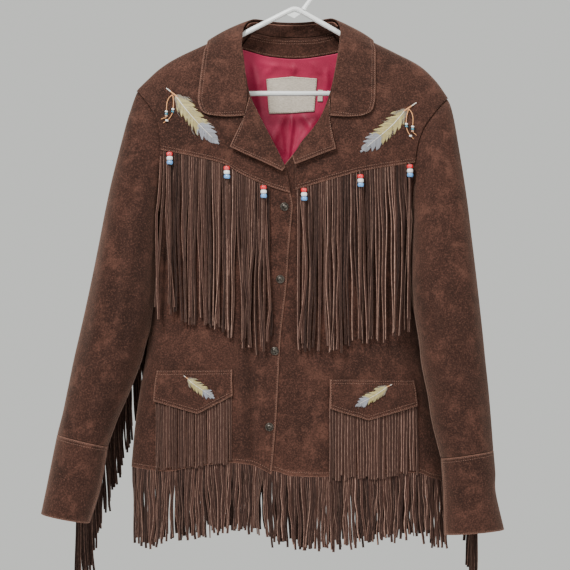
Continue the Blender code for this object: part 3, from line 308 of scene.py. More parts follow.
def plastic_finish():
    """White moulded plastic, a little scuffed."""
    material, tree, shader, where = start_material("white_plastic", 0.35, Specular_IOR_Level=0.5)
    scuffs = noise(tree, stretched(tree, where, (0.4, 1.0, 1.0)), 160.0, 4.0)
    colour = blend_colours(tree, spread(tree, scuffs, 0.5, 0.8), (0.80, 0.81, 0.79, 1), (0.64, 0.65, 0.62, 1))
    plug(tree, spread(tree, scuffs, 0.3, 0.7, 0.28, 0.46), shader.inputs["Roughness"])
    finished(tree, shader, colour, scuffs, 0.12, 0.2 * MM)
    return material


def pewter_finish():
    """Old pewter: dark hollows, brighter where it is rubbed."""
    material, tree, shader, where = start_material("old_pewter", 0.42, Metallic=1.0)
    spots = noise(tree, where, 520.0, 4.0, 0.65)
    colour = blend_colours(tree, spread(tree, spots, 0.38, 0.62), (0.022, 0.019, 0.016, 1), (0.15, 0.13, 0.11, 1))
    plug(tree, spread(tree, spots, 0.3, 0.7, 0.55, 0.3), shader.inputs["Roughness"])
    finished(tree, shader, colour, spots, 0.4, 0.3 * MM)
    return material


def bead_finish(name, colours):
    """Shiny beads whose colour is picked by the number stored on each."""
    material, tree, shader, where = start_material(name, 0.22, Coat_Weight=0.5, Coat_Roughness=0.12)
    picker = tree.nodes.new("ShaderNodeValToRGB")
    picker.color_ramp.interpolation = "CONSTANT"
    for k, colour in enumerate(colours):
        place = k / len(colours)
        stop = picker.color_ramp.elements[k] if k < 2 else picker.color_ramp.elements.new(place)
        stop.position = place
        stop.color = colour
    plug(tree, attribute(tree, "tone"), picker.inputs["Fac"])
    swirl = noise(tree, where, 240.0, 2.0)
    colour = blend_colours(tree, spread(tree, swirl, 0.4, 0.8, 0.0, 0.14), picker.outputs["Color"], (0.9, 0.9, 0.9, 1))
    finished(tree, shader, colour, swirl, 0.08, 0.2 * MM)
    return material


satin = satin_finish()
tape = tape_finish("cream_tape", (0.50, 0.43, 0.34, 1), (0.68, 0.61, 0.51, 1), 900.0)
thread = tape_finish("brown_thread", (0.15, 0.075, 0.050, 1), (0.32, 0.17, 0.12, 1), 2400.0)
thong_hide = tape_finish("tan_thong", (0.52, 0.23, 0.09, 1), (0.72, 0.36, 0.17, 1), 1200.0)
white_plastic = plastic_finish()
old_pewter = pewter_finish()
pony_bead = bead_finish("pony_beads", ((0.72, 0.012, 0.018, 1), (0.83, 0.82, 0.80, 1), (0.12, 0.34, 0.70, 1)))
seed_bead = bead_finish("seed_beads", ((0.80, 0.79, 0.76, 1), (0.015, 0.19, 0.27, 1), (0.42, 0.22, 0.12, 1)))
print("all finishes are mixed")

# %% [markdown]
# ## The torso's surface
# The jacket hangs nearly flat. Its outside is a formula: at each row there are two side edges, how far the front and
# the back stand off the middle, and a rounded section between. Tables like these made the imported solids. Here a side
# edge is moved a little in places, to close a gap of light beside the body. Places are read from the picture in pixels,
# and spot() turns them into metres.

# %% Tables of the torso
SUEDE = 1.6 * MM
COLLAR_SUEDE = 1.8 * MM
LINING_CLOTH = 1.0 * MM
LABEL_CLOTH = 1.0 * MM
SEAM_GAP = 0.3 * MM
LAYER_GAP = 0.9 * MM
INSIDE_GAP = 2.2 * MM
Torso = namedtuple("Torso", "row right_edge left_edge front back")


def rows_of(kind, *rows):
    """A table: rows of plain numbers, given the names of their columns."""
    return tuple(kind(*row) for row in rows)


TORSO = rows_of(Torso,
    (20, 112, 460, 42, 46), (90, 112, 460, 50, 45), (140, 114, 458, 56, 43), (172, 121, 450, 57, 43),
    (192, 133, 436, 57, 43), (205, 147, 422, 57, 43), (214, 157, 414, 57, 43), (218, 157, 410.5, 57, 43),
    (264, 155.6, 411, 58, 43), (292, 153.8, 413, 58, 43), (322, 150.6, 417, 57, 42), (356, 145.6, 422, 56, 42),
    (390, 139.6, 428.6, 55, 42), (426, 134.5, 435.8, 54, 42), (467.4, 130.7, 444.6, 54, 42),
    (481, 130.1, 446.8, 54, 42), (700, 130, 448, 54, 42))
SIDE_POWER = 2.6
SHOULDER_FALL = 90.0
Point = namedtuple("Point", "x y")
RIDGE = rows_of(Point,
    (110, 128), (137, 91.5), (150, 78.5), (160, 69.5), (174.5, 60), (207, 44.5), (225, 36.3), (243, 28), (255, 23),
    (272, 18.8), (292, 17.5), (312, 18.8), (329, 23.5), (341, 27.6), (357, 34.8), (372, 42.2), (396, 54),
    (419.5, 66.5), (435, 81), (447.5, 98.5), (470, 132))
BACK_NECK = rows_of(Point, (243, 28), (255, 31.2), (271, 34.4), (292, 35.6), (312, 35), (329, 32), (341, 27.6))

# %% [markdown]
# ## Creases
# Suede creases softly. Each crease is a line on the picture with a half width and a depth in millimetres, where a ridge
# is negative. The broad ones are those of the imported solids, and the finer ones are read off the picture: the trough
# beside the front edge, the drag lines at the armholes and the puckers of the hem. The back, which isn't seen, gets
# similar ones. The two tables of bands are painted shade, with a strength in place of a depth: the first darkens the
# colour where the arms and the torso fall into shade, by the body, at the shoulders, beside the front edge and towards
# the hem, and the second paints the shadows that the collar and the lapels throw on the yokes and fronts.

# %% Tables of creases
FOLD_STRENGTH = 1.7
Fold = namedtuple("Fold", "x0 y0 x1 y1 half_width depth")
FRONT_FOLDS = rows_of(Fold,
    (248, 270, 253, 470, 5.0, 2.6), (236, 300, 238, 450, 8.0, -1.6), (205, 330, 190, 455, 9.0, -1.4),
    (318, 300, 322, 465, 9.0, -1.6), (345, 330, 372, 462, 7.0, 1.6), (190, 92, 214, 140, 10.0, -1.5),
    (392, 100, 372, 148, 10.0, -1.5), (249, 355, 252, 462, 2.2, 1.4), (165, 112, 182, 150, 3.5, 0.9),
    (172, 78, 200, 100, 5.0, 0.8), (410, 92, 392, 128, 4.0, 0.9), (384, 66, 398, 96, 5.0, 0.7),
    (262, 262, 268, 330, 3.5, -0.9), (272, 300, 268, 400, 3.0, 0.7), (160, 335, 196, 352, 5.0, 0.9),
    (186, 352, 236, 345, 4.0, -0.7), (300, 352, 350, 362, 5.0, 0.8), (360, 350, 408, 360, 5.0, -0.8),
    (300, 400, 306, 470, 4.0, 0.9), (318, 420, 316, 474, 3.0, -0.8), (146, 405, 142, 462, 3.5, 0.9),
    (426, 400, 432, 470, 4.0, 1.0), (240, 200, 282, 240, 5.0, 0.6), (276, 225, 279, 268, 3.5, -0.6),
    (404, 200, 408, 300, 4.0, 0.8), (163, 210, 160, 300, 4.0, 0.8), (258, 430, 262, 470, 3.0, -0.9),
    (240, 440, 234, 465, 3.0, 0.8), (290, 250, 294, 340, 5.0, 0.9), (332, 250, 326, 330, 6.0, -0.9),
    (380, 350, 392, 380, 5.0, 0.8), (176, 330, 214, 338, 4.0, 0.8), (308, 340, 352, 350, 4.0, -0.8),
    (282, 380, 312, 372, 5.0, 0.8), (150, 356, 160, 372, 4.0, 0.8), (284, 430, 288, 472, 3.5, 0.9),
    (412, 430, 418, 472, 3.5, -0.8))
# Painted shade: soft bands of darker colour where the arms and the torso fall into shade.
PAINTED_SHADE_BANDS = rows_of(Fold,
    (147, 190, 127, 350, 11.0, 0.95), (116, 376, 104, 416, 14.0, 0.7), (436, 165, 441, 290, 8.0, 0.3),
    (446, 330, 443, 440, 9.0, 0.45), (246, 300, 247, 472, 7.0, 0.8), (294, 250, 297, 462, 6.0, 0.5),
    (160, 84, 180, 146, 19.0, 1.0), (406, 88, 396, 148, 12.0, 0.45), (206, 440, 236, 468, 10.0, 0.7),
    (150, 350, 144, 466, 6.0, 0.5), (60, 470, 96, 500, 10.0, 0.4))
# Painted shadows that the collar and the lapels throw on the yokes and fronts.
PAINTED_SHADOW_BANDS = rows_of(Fold,
    (236, 153, 280, 181, 3.4, 1.0), (209, 118, 246, 120, 3.4, 1.0), (292, 174, 332, 156, 3.4, 1.0),
    (330, 118, 370, 116, 3.0, 0.9), (340, 122, 334, 150, 3.0, 0.6), (201, 96, 200, 70, 2.5, 0.5))
BACK_FOLDS = rows_of(Fold,
    (205, 120, 178, 460, 12.0, -4.0), (248, 150, 238, 465, 10.0, 4.0), (292, 90, 294, 468, 14.0, -3.0),
    (338, 150, 352, 468, 10.0, 4.0), (378, 120, 400, 470, 12.0, -4.0), (170, 120, 200, 190, 5.0, 1.2),
    (415, 120, 388, 190, 5.0, 1.2), (222, 300, 214, 460, 5.0, 1.2), (366, 300, 374, 462, 5.0, -1.1),
    (270, 330, 268, 466, 4.5, 1.0), (316, 350, 322, 466, 4.5, -1.0), (160, 380, 152, 460, 5.0, -1.0),
    (418, 380, 428, 464, 5.0, 1.0), (250, 70, 262, 120, 6.0, 0.9), (338, 70, 322, 125, 6.0, -0.9))

# %% [markdown]
# ## Reading a table
# A few rows of numbers stand for a smooth edge, so they are read with a curve that passes through each row and never
# swings past it. A plain spline would overshoot where an edge turns sharply, and would leave bumps at the yoke and hem.

# %% Reading tables and places


def read(rows, at, column=1):
    """Reads one column of a table smoothly at values of its first column, never swinging past the rows."""
    table = np.array(rows, dtype=float)
    knots, values = table[:, 0], table[:, column]
    steps = np.diff(knots)
    rises = np.diff(values) / steps
    before, after = rises[:-1], rises[1:]
    total = np.where(before + after == 0, 1.0, before + after)
    slopes = np.concatenate([rises[:1], np.where(before * after > 0, 2 * before * after / total, 0.0), rises[-1:]])
    at = np.clip(at, knots[0], knots[-1])
    k = np.clip(np.searchsorted(knots, at, side="right") - 1, 0, len(steps) - 1)
    t = (at - knots[k]) / steps[k]
    return ((2 * t ** 3 - 3 * t ** 2 + 1) * values[k] + (t ** 3 - 2 * t ** 2 + t) * slopes[k] * steps[k]
            + (3 * t ** 2 - 2 * t ** 3) * values[k + 1] + (t ** 3 - t ** 2) * slopes[k + 1] * steps[k])


def along(points, shares):
    """Places at shares of the length of a line of points."""
    line = np.array(points, dtype=float)
    reach = np.concatenate([[0.0], np.cumsum(np.linalg.norm(np.diff(line, axis=0), axis=1))])
    at = np.asarray(shares, dtype=float) * reach[-1]
    return np.stack([np.interp(at, reach, line[:, k]) for k in range(line.shape[1])], axis=-1)


def spot(x, y, depth):
    """Picture places at a depth, in metres in the part's frame."""
    x, y, depth = np.broadcast_arrays(x, y, depth)
    return np.stack([(x - ORIGIN_X) * PIXEL, depth, (ORIGIN_Y - y) * PIXEL], axis=-1)


def picture_place(points):
    """The picture pixels of places in metres."""
    return points[..., 0] / PIXEL + ORIGIN_X, ORIGIN_Y - points[..., 2] / PIXEL


def smooth_step(t):
    """0 below 0, 1 above 1, and a soft rise between."""
    t = np.clip(t, 0.0, 1.0)
    return t * t * (3 - 2 * t)


def unit(vectors):
    """Vectors of length one."""
    return vectors / np.maximum(np.linalg.norm(vectors, axis=-1, keepdims=True), 1e-12)


# %% [markdown]
# ## Depth and direction
# The torso's depth at a place is its table's depth, less the creases, times a rounded section. Directions come from
# small steps across it. At a seam both sides must meet, so there the directions turn into the seam's plane.

# %% The torso's depth and direction


def fold_depth(folds, x, y):
    """What the creases take off the cloth at picture places, in mm."""
    total = np.zeros(np.broadcast(x, y).shape)
    for fold in folds:
        run_x, run_y = fold.x1 - fold.x0, fold.y1 - fold.y0
        off_x, off_y = x - fold.x0, y - fold.y0
        t = (off_x * run_x + off_y * run_y) / (run_x ** 2 + run_y ** 2)
        across = np.hypot(off_x - run_x * t, off_y - run_y * t)
        ends = smooth_step(t / 0.25 + 0.5) * smooth_step((1 - t) / 0.25 + 0.5)
        total = total + fold.depth * ends * np.exp(-(across / fold.half_width) ** 2)
    return FOLD_STRENGTH * total


def body_depth(face, x, y):
    """How deep the outside of the torso lies at picture places."""
    right, left = read(TORSO, y, 1), read(TORSO, y, 2)
    middle, half = (right + left) / 2, (left - right) / 2
    side = np.sqrt(np.maximum(0.0, 1 - np.minimum(np.abs(x - middle) / half, 1) ** SIDE_POWER))
    fall = np.clip((y - read(RIDGE, x)) / SHOULDER_FALL, 0.0, 1.0)
    share = side * np.sqrt(1 - (1 - fall) ** 2)
    if face == "front":
        return -MM * (read(TORSO, y, 3) - fold_depth(FRONT_FOLDS, x, y)) * share
    return MM * (read(TORSO, y, 4) - fold_depth(BACK_FOLDS, x, y)) * share


def body_normal(face, x, y, on_seam=0.0):
    """The outward direction of the torso. Near a shoulder or side seam it turns into the seam's plane."""
    step = 0.4
    x = np.clip(x, read(TORSO, y, 1) + 2 * step, read(TORSO, y, 2) - 2 * step)
    y = np.maximum(y, read(RIDGE, x) + 2 * step)
    across = spot(x + step, y, body_depth(face, x + step, y)) - spot(x - step, y, body_depth(face, x - step, y))
    down = spot(x, y + step, body_depth(face, x, y + step)) - spot(x, y - step, body_depth(face, x, y - step))
    normal = np.cross(across, down)
    wrong = (normal[..., 1:2] > 0) == (face == "front")
    normal = unit(np.where(wrong, -normal, normal))
    normal[..., 1] = normal[..., 1] * (1 - on_seam)
    return unit(normal)


def body_point(face, x, y, lift=0.0, on_seam=0.0):
    """Points off the torso's outside by a lift. The front and the back are half a seam gap off the middle plane."""
    half_gap = -SEAM_GAP / 2 if face == "front" else SEAM_GAP / 2
    base = spot(x, y, body_depth(face, x, y) + half_gap)
    return base + body_normal(face, x, y, on_seam) * np.asarray(lift)[..., None]


# %% [markdown]
# ## From a grid to cloth
# A panel starts as a grid of places. The grid is made finer on smooth curves through its points, moved out along its
# own directions, and closed into a thin wall. A wall could come from the Solidify modifier, but here both skins and a
# rounded rim are written directly, because the rim is what catches the light along a cut edge of suede.

# %% Grids and walls


def smooth_along(grid, steps, ring=False):
    """Adds places between the rows of a grid, on smooth curves through them."""
    if ring:
        padded = np.concatenate([grid[-1:], grid, grid[:2]])
        spans = len(grid)
    else:
        padded = np.concatenate([2 * grid[:1] - grid[1:2], grid, 2 * grid[-1:] - grid[-2:-1]])
        spans = len(grid) - 1
    at = np.arange(spans * steps + (0 if ring else 1)) / steps
    k = np.minimum(at.astype(int), spans - 1)
    t = (at - k).reshape((-1,) + (1,) * (grid.ndim - 1))
    a, b, c, d = (padded[k + n] for n in range(4))
    return 0.5 * (2 * b + (c - a) * t + (2 * a - 5 * b + 4 * c - d) * t ** 2 + (3 * b - a - 3 * c + d) * t ** 3)


def finer(grid, row_steps, column_steps, ring=False):
    """Makes a grid finer both ways."""
    grid = smooth_along(grid, row_steps)
    return np.swapaxes(smooth_along(np.swapaxes(grid, 0, 1), column_steps, ring), 0, 1)


def finer_shares(shares, steps):
    """Even steps between the numbers of a list."""
    return np.interp(np.arange((len(shares) - 1) * steps + 1) / steps, np.arange(len(shares)), shares)


def grid_normals(grid, towards, ring=False):
    """Directions square to a grid, on the side that towards points to."""
    if ring:
        across = np.roll(grid, -1, axis=1) - np.roll(grid, 1, axis=1)
    else:
        across = np.gradient(grid, axis=1)
    normal = unit(np.cross(across, np.gradient(grid, axis=0)))
    wrong = np.sum(normal * towards, axis=-1, keepdims=True) < 0
    return np.where(wrong, -normal, normal)


EDGE_ROW = 1.6 * MM
RUB_REACH = 1.05 * MM


def rub(grid, sides):
    """How worn each point of a grid is, by its distance from the named free edges."""
    worn = np.zeros(grid.shape[:2])
    edges = {"top": grid[:1], "bottom": grid[-1:], "start": grid[:, :1], "end": grid[:, -1:]}
    for side in sides:
        away = np.linalg.norm(grid - edges[side], axis=-1)
        worn = np.maximum(worn, np.exp(-(away / RUB_REACH) ** 2))
    return worn


def with_edge_rows(outside, normals):
    """Adds a row just inside each edge, so that the rim's roundness and wear stay narrow."""
    for _ in range(2):
        outside, normals = np.swapaxes(outside, 0, 1), np.swapaxes(normals, 0, 1)
        shares = []
        for edge, inner in ((0, 1), (-1, -2)):
            run = np.linalg.norm(outside[inner] - outside[edge], axis=-1, keepdims=True)
            shares.append(np.minimum(0.8, EDGE_ROW / np.maximum(run, 1e-9)))
        outside, normals = between_ends(outside, shares), unit(between_ends(normals, shares))
    return outside, normals


def between_ends(grid, shares):
    """A grid with one more row between its first two, and one between its last two."""
    first, last = (grid[edge] + (grid[inner] - grid[edge]) * share for edge, inner, share in
                   ((0, 1, shares[0]), (-1, -2, shares[1])))
    return np.concatenate([grid[:1], first[None], grid[1:-1], last[None], grid[-1:]])


def mesh_object(name, points, faces, material, numbers):
    """An object of points and faces, smooth, facing out, at the origin, with numbers stored on its points."""
    mesh = bpy.data.meshes.new(name)
    mesh.from_pydata([tuple(p) for p in points], [], faces)
    for label, values in numbers.items():
        mesh.attributes.new(label, "FLOAT", "POINT").data.foreach_set("value", np.asarray(values, dtype=np.float32))
    body = bmesh.new()
    body.from_mesh(mesh)
    bmesh.ops.recalc_face_normals(body, faces=body.faces)
    body.to_mesh(mesh)
    body.free()
    mesh.materials.append(material)
    mesh.shade_smooth()
    thing = bpy.data.objects.new(name, mesh)
    bpy.context.collection.objects.link(thing)
    return thing


def grid_faces(rows, columns, first):
    """The four-sided faces of a grid of numbered points."""
    i, j = np.meshgrid(np.arange(rows - 1), np.arange(columns - 1), indexing="ij")
    a = first + (i * columns + j).ravel()
    return np.stack([a, a + 1, a + columns + 1, a + columns], axis=1)


RIM_ROUNDING = 0.35


def wall(name, outside, normals, thickness, material, numbers):
    """A thin closed wall: the outside, the inside and a rounded rim. numbers are grids of numbers to store on it."""
    rows, columns = outside.shape[:2]
    inside = outside - normals * thickness
    rim = [(0, j) for j in range(columns)] + [(i, columns - 1) for i in range(1, rows)]
    rim += [(rows - 1, j) for j in range(columns - 2, -1, -1)] + [(i, 0) for i in range(rows - 2, 0, -1)]
    ri, rj = np.array([i for i, j in rim]), np.array([j for i, j in rim])
    ni, nj = np.clip(ri, 1, rows - 2), np.clip(rj, 1, columns - 2)
    outward = unit(outside[ri, rj] - outside[ni, nj])
    edge = (outside[ri, rj] + inside[ri, rj]) / 2
    outside, inside = outside.copy(), inside.copy()
    for skin in (outside, inside):
        skin[ri, rj] -= outward * (RIM_ROUNDING * thickness)
    count = rows * columns
    points = np.concatenate([outside.reshape(-1, 3), inside.reshape(-1, 3), edge])
    faces = [grid_faces(rows, columns, 0), grid_faces(rows, columns, count)]
    top = ri * columns + rj
    for here in (0, count):
        low = here + top
        middle = 2 * count + np.arange(len(rim))
        faces.append(np.stack([low, np.roll(low, -1), np.roll(middle, -1), middle], axis=1))
    numbers = {label: np.concatenate([values.ravel(), values.ravel(), values[ri, rj]])
               for label, values in numbers.items()}
    return mesh_object(name, points, np.concatenate(faces).tolist(), material, numbers)


# %% [markdown]
# ## Declaring a panel
# Each panel rides on the one body of the model and takes the place of its imported solid. Suede doesn't stretch on a
# hanger.

# %% Declaring
panels = {}
Panel = namedtuple("Panel", "thing outside normals")


def declare(thing, nodes=()):
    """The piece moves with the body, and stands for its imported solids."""
    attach(thing, "root")
    if nodes:
        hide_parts(*nodes)


def panel(name, node, outside, normals, sides=(), thickness=SUEDE, material=suede, slot="suede"):
    """Makes one panel, and keeps its grid for what is sewn on it."""
    skin, directions = with_edge_rows(outside, normals)
    px, py = picture_place(skin)
    # Painted shade: the bands darken the colour, and the fronts and yokes also get the painted shadows of the collar
    # and lapels.
    bands = PAINTED_SHADE_BANDS + (PAINTED_SHADOW_BANDS if node.startswith(("yoke", "front")) else ())
    painted_shade = np.clip(fold_depth(bands, px, py) / FOLD_STRENGTH, 0, 1)
    thing = wall(name, skin, directions, thickness, material, {"worn": rub(skin, sides), "painted_shade": painted_shade})
    declare(thing, (node,))
    panels[node] = Panel(thing, outside, normals)


# %% [markdown]
# ## The fronts, the yokes and the back
# On the real jacket each front is one hide from shoulder to hem, and the yoke is a second layer on top of it with a
# stepped lower edge that hides the fringe's roots. The right front laps over the left. The grid's rows run from the
# side to the front edge, and a few of them bend with the shoulder, the yoke's edge and the hem.

# %% Tables of the fronts
Row = namedtuple("Row", "outer_x outer_y inner_x inner_y")
RIGHT_ROWS = rows_of(Row,
    (137, 91.5, 243, 28), (139.8, 94.8, 242.6, 33.5), (145, 101, 242, 50), (151, 109, 246, 75), (156, 117.5, 251, 98),
    (159, 128, 266, 129), (160.5, 140, 285, 167), (161, 150.6, 290.5, 194), (160.5, 168, 292.6, 206),
    (159.8, 186, 291.6, 219), (158.6, 202, 290.5, 231), (157, 214, 289.6, 242), (156.8, 236, 288.2, 256),
    (155.6, 264, 286.6, 282), (153.8, 292, 284.2, 306), (150.6, 322, 281, 333), (145.6, 356, 279.2, 362),
    (139.6, 390, 277.7, 392), (134.5, 426, 275.6, 428), (130.7, 467.4, 271.5, 473.5))
LEFT_ROWS = rows_of(Row,
    (447.5, 98.5, 341, 27.6), (444.6, 101.6, 340, 36), (438.3, 108, 337, 58), (432, 116, 330, 92),
    (425.5, 124.5, 318, 122), (420.7, 134, 297, 150), (417, 146, 270, 185), (414.5, 163, 268, 198),
    (413.5, 178, 267.5, 209), (412.6, 193, 267, 221), (411.6, 206, 266.5, 232), (410.5, 218, 266, 243),
    (410.7, 238, 265, 258), (411, 264, 263.5, 284), (413, 292, 262, 308), (417, 322, 260, 335), (422, 356, 258, 362),
    (428.6, 390, 256.3, 392), (435.8, 426, 255, 428), (446.8, 481, 254, 469))
YOKE_ROW = 7
UNDERARM_ROW = 11
FRONT_COLUMNS = (0, 0.02, 0.06, 0.12, 0.2, 0.3, 0.41, 0.52, 0.63, 0.74, 0.85, 0.93, 1)
BACK_COLUMNS = (0, 0.012, 0.035, 0.075, 0.13, 0.2, 0.27, 0.3414, 0.355, 0.38, 0.43, 0.5, 0.57, 0.62, 0.643, 0.657,
                0.73, 0.8, 0.87, 0.925, 0.965, 0.988, 1)
BACK_BENDS = {0: 1.0, 1: 0.95, 2: 0.8, 3: 0.62, 4: 0.46, 5: 0.3, 6: 0.15}
YOKE_EDGE = {
    "right": rows_of(Point, (161, 150.6), (194.6, 157.3), (226, 165.4), (239, 173.5), (266, 186), (290.5, 194)),
    "left": rows_of(Point, (268, 198), (293.8, 191), (333.6, 179.3), (360.4, 172), (414.5, 163)),
}
HEM_EDGE = {
    "right": rows_of(Point,
        (130.7, 467.4), (167.8, 471), (191, 466.5), (232, 462), (253.5, 464.5), (271.5, 473.5)),
    "left": rows_of(Point,
        (254, 469), (274.5, 470), (291, 475), (321, 476), (341, 474), (418.4, 472.5), (432.5, 478), (446.8, 481)),
    "back": rows_of(Point, (130.7, 467.4), (190, 470), (292, 472), (390, 475), (446.8, 481)),
}
ROW_STEPS = 7
COLUMN_STEPS = 5
SEAM_BLEND = 2.5
YOKE_INSET = 1.2
YOKE_INNER_END = 295.0

# %% [markdown]
# ## Laying the fronts and yokes
# A front's rows are straight lines in the picture, apart from those at the shoulder, at the yoke's edge and at the hem,
# which take up the bend of that edge. The yoke reuses the front's rows and lies one layer further out.

# %% Laying the fronts


def row_places(row, edge, weight, shares):
    """The places of one row, straight from end to end but for a share of an edge's own bend."""
    x = row.outer_x + (row.inner_x - row.outer_x) * shares
    y = row.outer_y + (row.inner_y - row.outer_y) * shares
    if weight:
        ends = read(edge, np.array([row.outer_x, row.inner_x]))
        y = y + (read(edge, x) - (ends[0] + (ends[1] - ends[0]) * shares)) * weight
    return np.stack([x, y], axis=-1)


def front_grid(side, shares):
    """The places of a front, row by row."""
    rows = RIGHT_ROWS if side == "right" else LEFT_ROWS
    bends = {0: (RIDGE, 1.0), 1: (RIDGE, 0.95), 2: (RIDGE, 0.75), 3: (RIDGE, 0.45), 4: (RIDGE, 0.2),
             YOKE_ROW: (YOKE_EDGE[side], 1.0), YOKE_ROW + 1: (YOKE_EDGE[side], 0.5),
             len(rows) - 2: (HEM_EDGE[side], 0.6), len(rows) - 1: (HEM_EDGE[side], 1.0)}
    return np.array([row_places(row, *bends.get(k, (None, 0.0)), shares) for k, row in enumerate(rows)])


def front_raise(side, x, y):
    """How far the right front rises to lap over the left front."""
    if side == "left":
        return np.zeros(np.broadcast(x, y).shape)
    return (SUEDE + LAYER_GAP) * smooth_step((np.asarray(x) - 218) / 32) * smooth_step((np.asarray(y) - 100) / 50)


def near(grid, edge):
    """1 on an edge of a grid of places, fading to 0 within a few pixels of it."""
    return np.exp(-(np.linalg.norm(grid - edge, axis=-1) / SEAM_BLEND) ** 2)


def seam_share(grid, first_side_row):
    """Near 1 at the shoulder seam and at the side seam, and 0 away from them."""
    side = near(grid, grid[:, :1])
    side[:first_side_row] = 0.0
    return np.maximum(near(grid, grid[:1]), side)


def front_panel(name, node, side, grid, lift, sides, first_side_row):
    """A panel that follows a front's places."""
    x, y = grid[..., 0], grid[..., 1]
    seam = seam_share(grid, first_side_row)
    normals = body_normal("front", x, y, seam)
    outside = body_point("front", x, y, lift + front_raise(side, x, y), seam)
    panel(name, node, outside, normals, sides)


def yoke_grid(side):
    """The yoke's places: the front's rows down to the stepped edge, drawn in a little at the armhole."""
    kept = []
    for k, row in enumerate(front_grid(side, finer_shares(FRONT_COLUMNS, COLUMN_STEPS))[:YOKE_ROW + 1]):
        order = np.argsort(row[:, 0])
        outer, inner = row[0], row[-1]
        inset = (YOKE_INSET if side == "right" else -YOKE_INSET) if k else 0.0
        stop = inner[0] if side == "right" else max(inner[0], YOKE_INNER_END)
        x = row[:, 0].copy()
        x[0] += inset
        x = stop + (x - inner[0]) * (outer[0] - stop) / (outer[0] - inner[0])
        kept.append(np.stack([x, np.interp(x, row[order, 0], row[order, 1])], axis=-1))
    return smooth_along(np.array(kept), ROW_STEPS)


fine_front = finer_shares(FRONT_COLUMNS, COLUMN_STEPS)
for side in ("right", "left"):
    places = smooth_along(front_grid(side, fine_front), ROW_STEPS)
    front_panel("suede_front_" + side, "front_" + side, side, places, 0.0, ("end", "bottom"), UNDERARM_ROW * ROW_STEPS)
    front_panel("suede_yoke_" + side, "yoke_" + side, side, yoke_grid(side), SUEDE + LAYER_GAP, ("bottom",),
                YOKE_ROW * ROW_STEPS + 1)
print("fronts and yokes:", panels["front_right"].outside.shape, panels["yoke_right"].outside.shape)

# %% [markdown]
# ## Laying the back
# The back reaches from one armhole to the other in one piece. Its upper rows bend with the shoulders and the neck, and
# they end exactly where the fronts' rows end, so that no slit opens behind the shoulders.

# %% Laying the back


def back_bulge(x, shares):
    """How far the shoulder line, or the neck's edge, lies off a straight line between the tops of the armholes."""
    top = np.where((x >= BACK_NECK[0].x) & (x <= BACK_NECK[-1].x), read(BACK_NECK, x), read(RIDGE, x))
    return top - (RIGHT_ROWS[0].outer_y + (LEFT_ROWS[0].outer_y - RIGHT_ROWS[0].outer_y) * shares)


def back_grid():
    """The back's places, from the right armhole to the left, with the neck cut out of the top."""
    shares = finer_shares(BACK_COLUMNS, 4)
    grid = []
    for k, (right, left) in enumerate(zip(RIGHT_ROWS, LEFT_ROWS)):
        x = right.outer_x + (left.outer_x - right.outer_x) * shares
        y = right.outer_y + (left.outer_y - right.outer_y) * shares
        bulge = back_bulge(x, shares)
        y = y + (bulge - bulge[0] * (1 - shares) - bulge[-1] * shares) * BACK_BENDS.get(k, 0.0)
        if k == len(RIGHT_ROWS) - 1:
            y = read(HEM_EDGE["back"], x)
        grid.append(np.stack([x, y], axis=-1))
    return smooth_along(np.array(grid), ROW_STEPS)


grid = back_grid()
x, y = grid[..., 0], grid[..., 1]
shoulder = near(grid, grid[:1])
shoulder *= 1 - smooth_step((x - BACK_NECK[0].x) / 2) * smooth_step((BACK_NECK[-1].x - x) / 2)
side_seam = np.maximum(near(grid, grid[:, :1]), near(grid, grid[:, -1:]))
side_seam[:UNDERARM_ROW * ROW_STEPS] = 0.0
seam = np.maximum(shoulder, side_seam)
panel("suede_back", "back", body_point("back", x, y, 0.0, seam), body_normal("back", x, y, seam), ("bottom",))
print("back:", grid.shape)

# %% [markdown]
# ## The sleeves and cuffs
# A set-in sleeve is a tube whose top is the armhole itself. The rings below it are ovals between an outer and an inner
# place of the picture. Each sleeve is sewn from two pieces, so the tube is cut at two stations. Its creases are soft
# drag lines down the arm, the puckers under the shoulder and the bends at the elbow.

# %% Tables of the sleeves
Ring = namedtuple("Ring", "outer_x outer_y inner_x inner_y middle half_depth lean")
SLEEVE = {
    "right": rows_of(Ring,
        (133.5, 99.5, 156.7, 223, -3, 43, 9), (130, 110, 156.9, 232, -4, 45, 6.5), (126, 123, 156.8, 243, -6, 48, 4),
        (118.5, 152, 156.4, 262, -8, 52, 1.5), (111, 182, 155.5, 279, -9, 55, 0), (105, 210, 154.5, 294, -9, 57, 0),
        (100, 236, 153.1, 307, -9, 58, 0), (95, 261, 151.7, 319, -8, 58, 0), (90, 285, 149.6, 331, -6, 57, 0),
        (84.5, 310, 145.8, 344, -4, 56, 0), (78.7, 335, 141.6, 360, 0, 54, 0), (72.9, 360, 135, 378, 0, 52, 0),
        (67, 389, 126.5, 399, 0, 50, 0), (62, 413, 117, 420, 0, 48, 0), (56.5, 434.5, 107.5, 446.5, 0, 46, 0)),
    "left": rows_of(Ring,
        (450.5, 104, 411.2, 227, -7, 43, 9), (453, 113, 410.6, 236, -10, 45, 6.5), (455.5, 126, 410, 247, -14, 48, 4),
        (459.5, 151, 409.6, 265, -20, 51, 1.5), (464, 180, 410, 281, -25, 53, 0), (467.8, 207, 411.3, 296, -28, 55, 0),
        (471, 235, 413.1, 309, -29, 56, 0), (474, 260, 415.1, 321, -30, 56, 0), (477, 285, 417.4, 334, -30, 55, 0),
        (479.8, 310, 419.2, 347, -30, 54, 0), (482.5, 335, 420.7, 362, -30, 52, 0), (485, 360, 423.7, 378, -30, 50, 0),
        (488, 388, 427.4, 396, -30, 48, 0), (490.6, 418, 431.5, 422, -30, 46, 0),
        (493, 449.5, 440.3, 457.5, -30, 44, 0)),
}
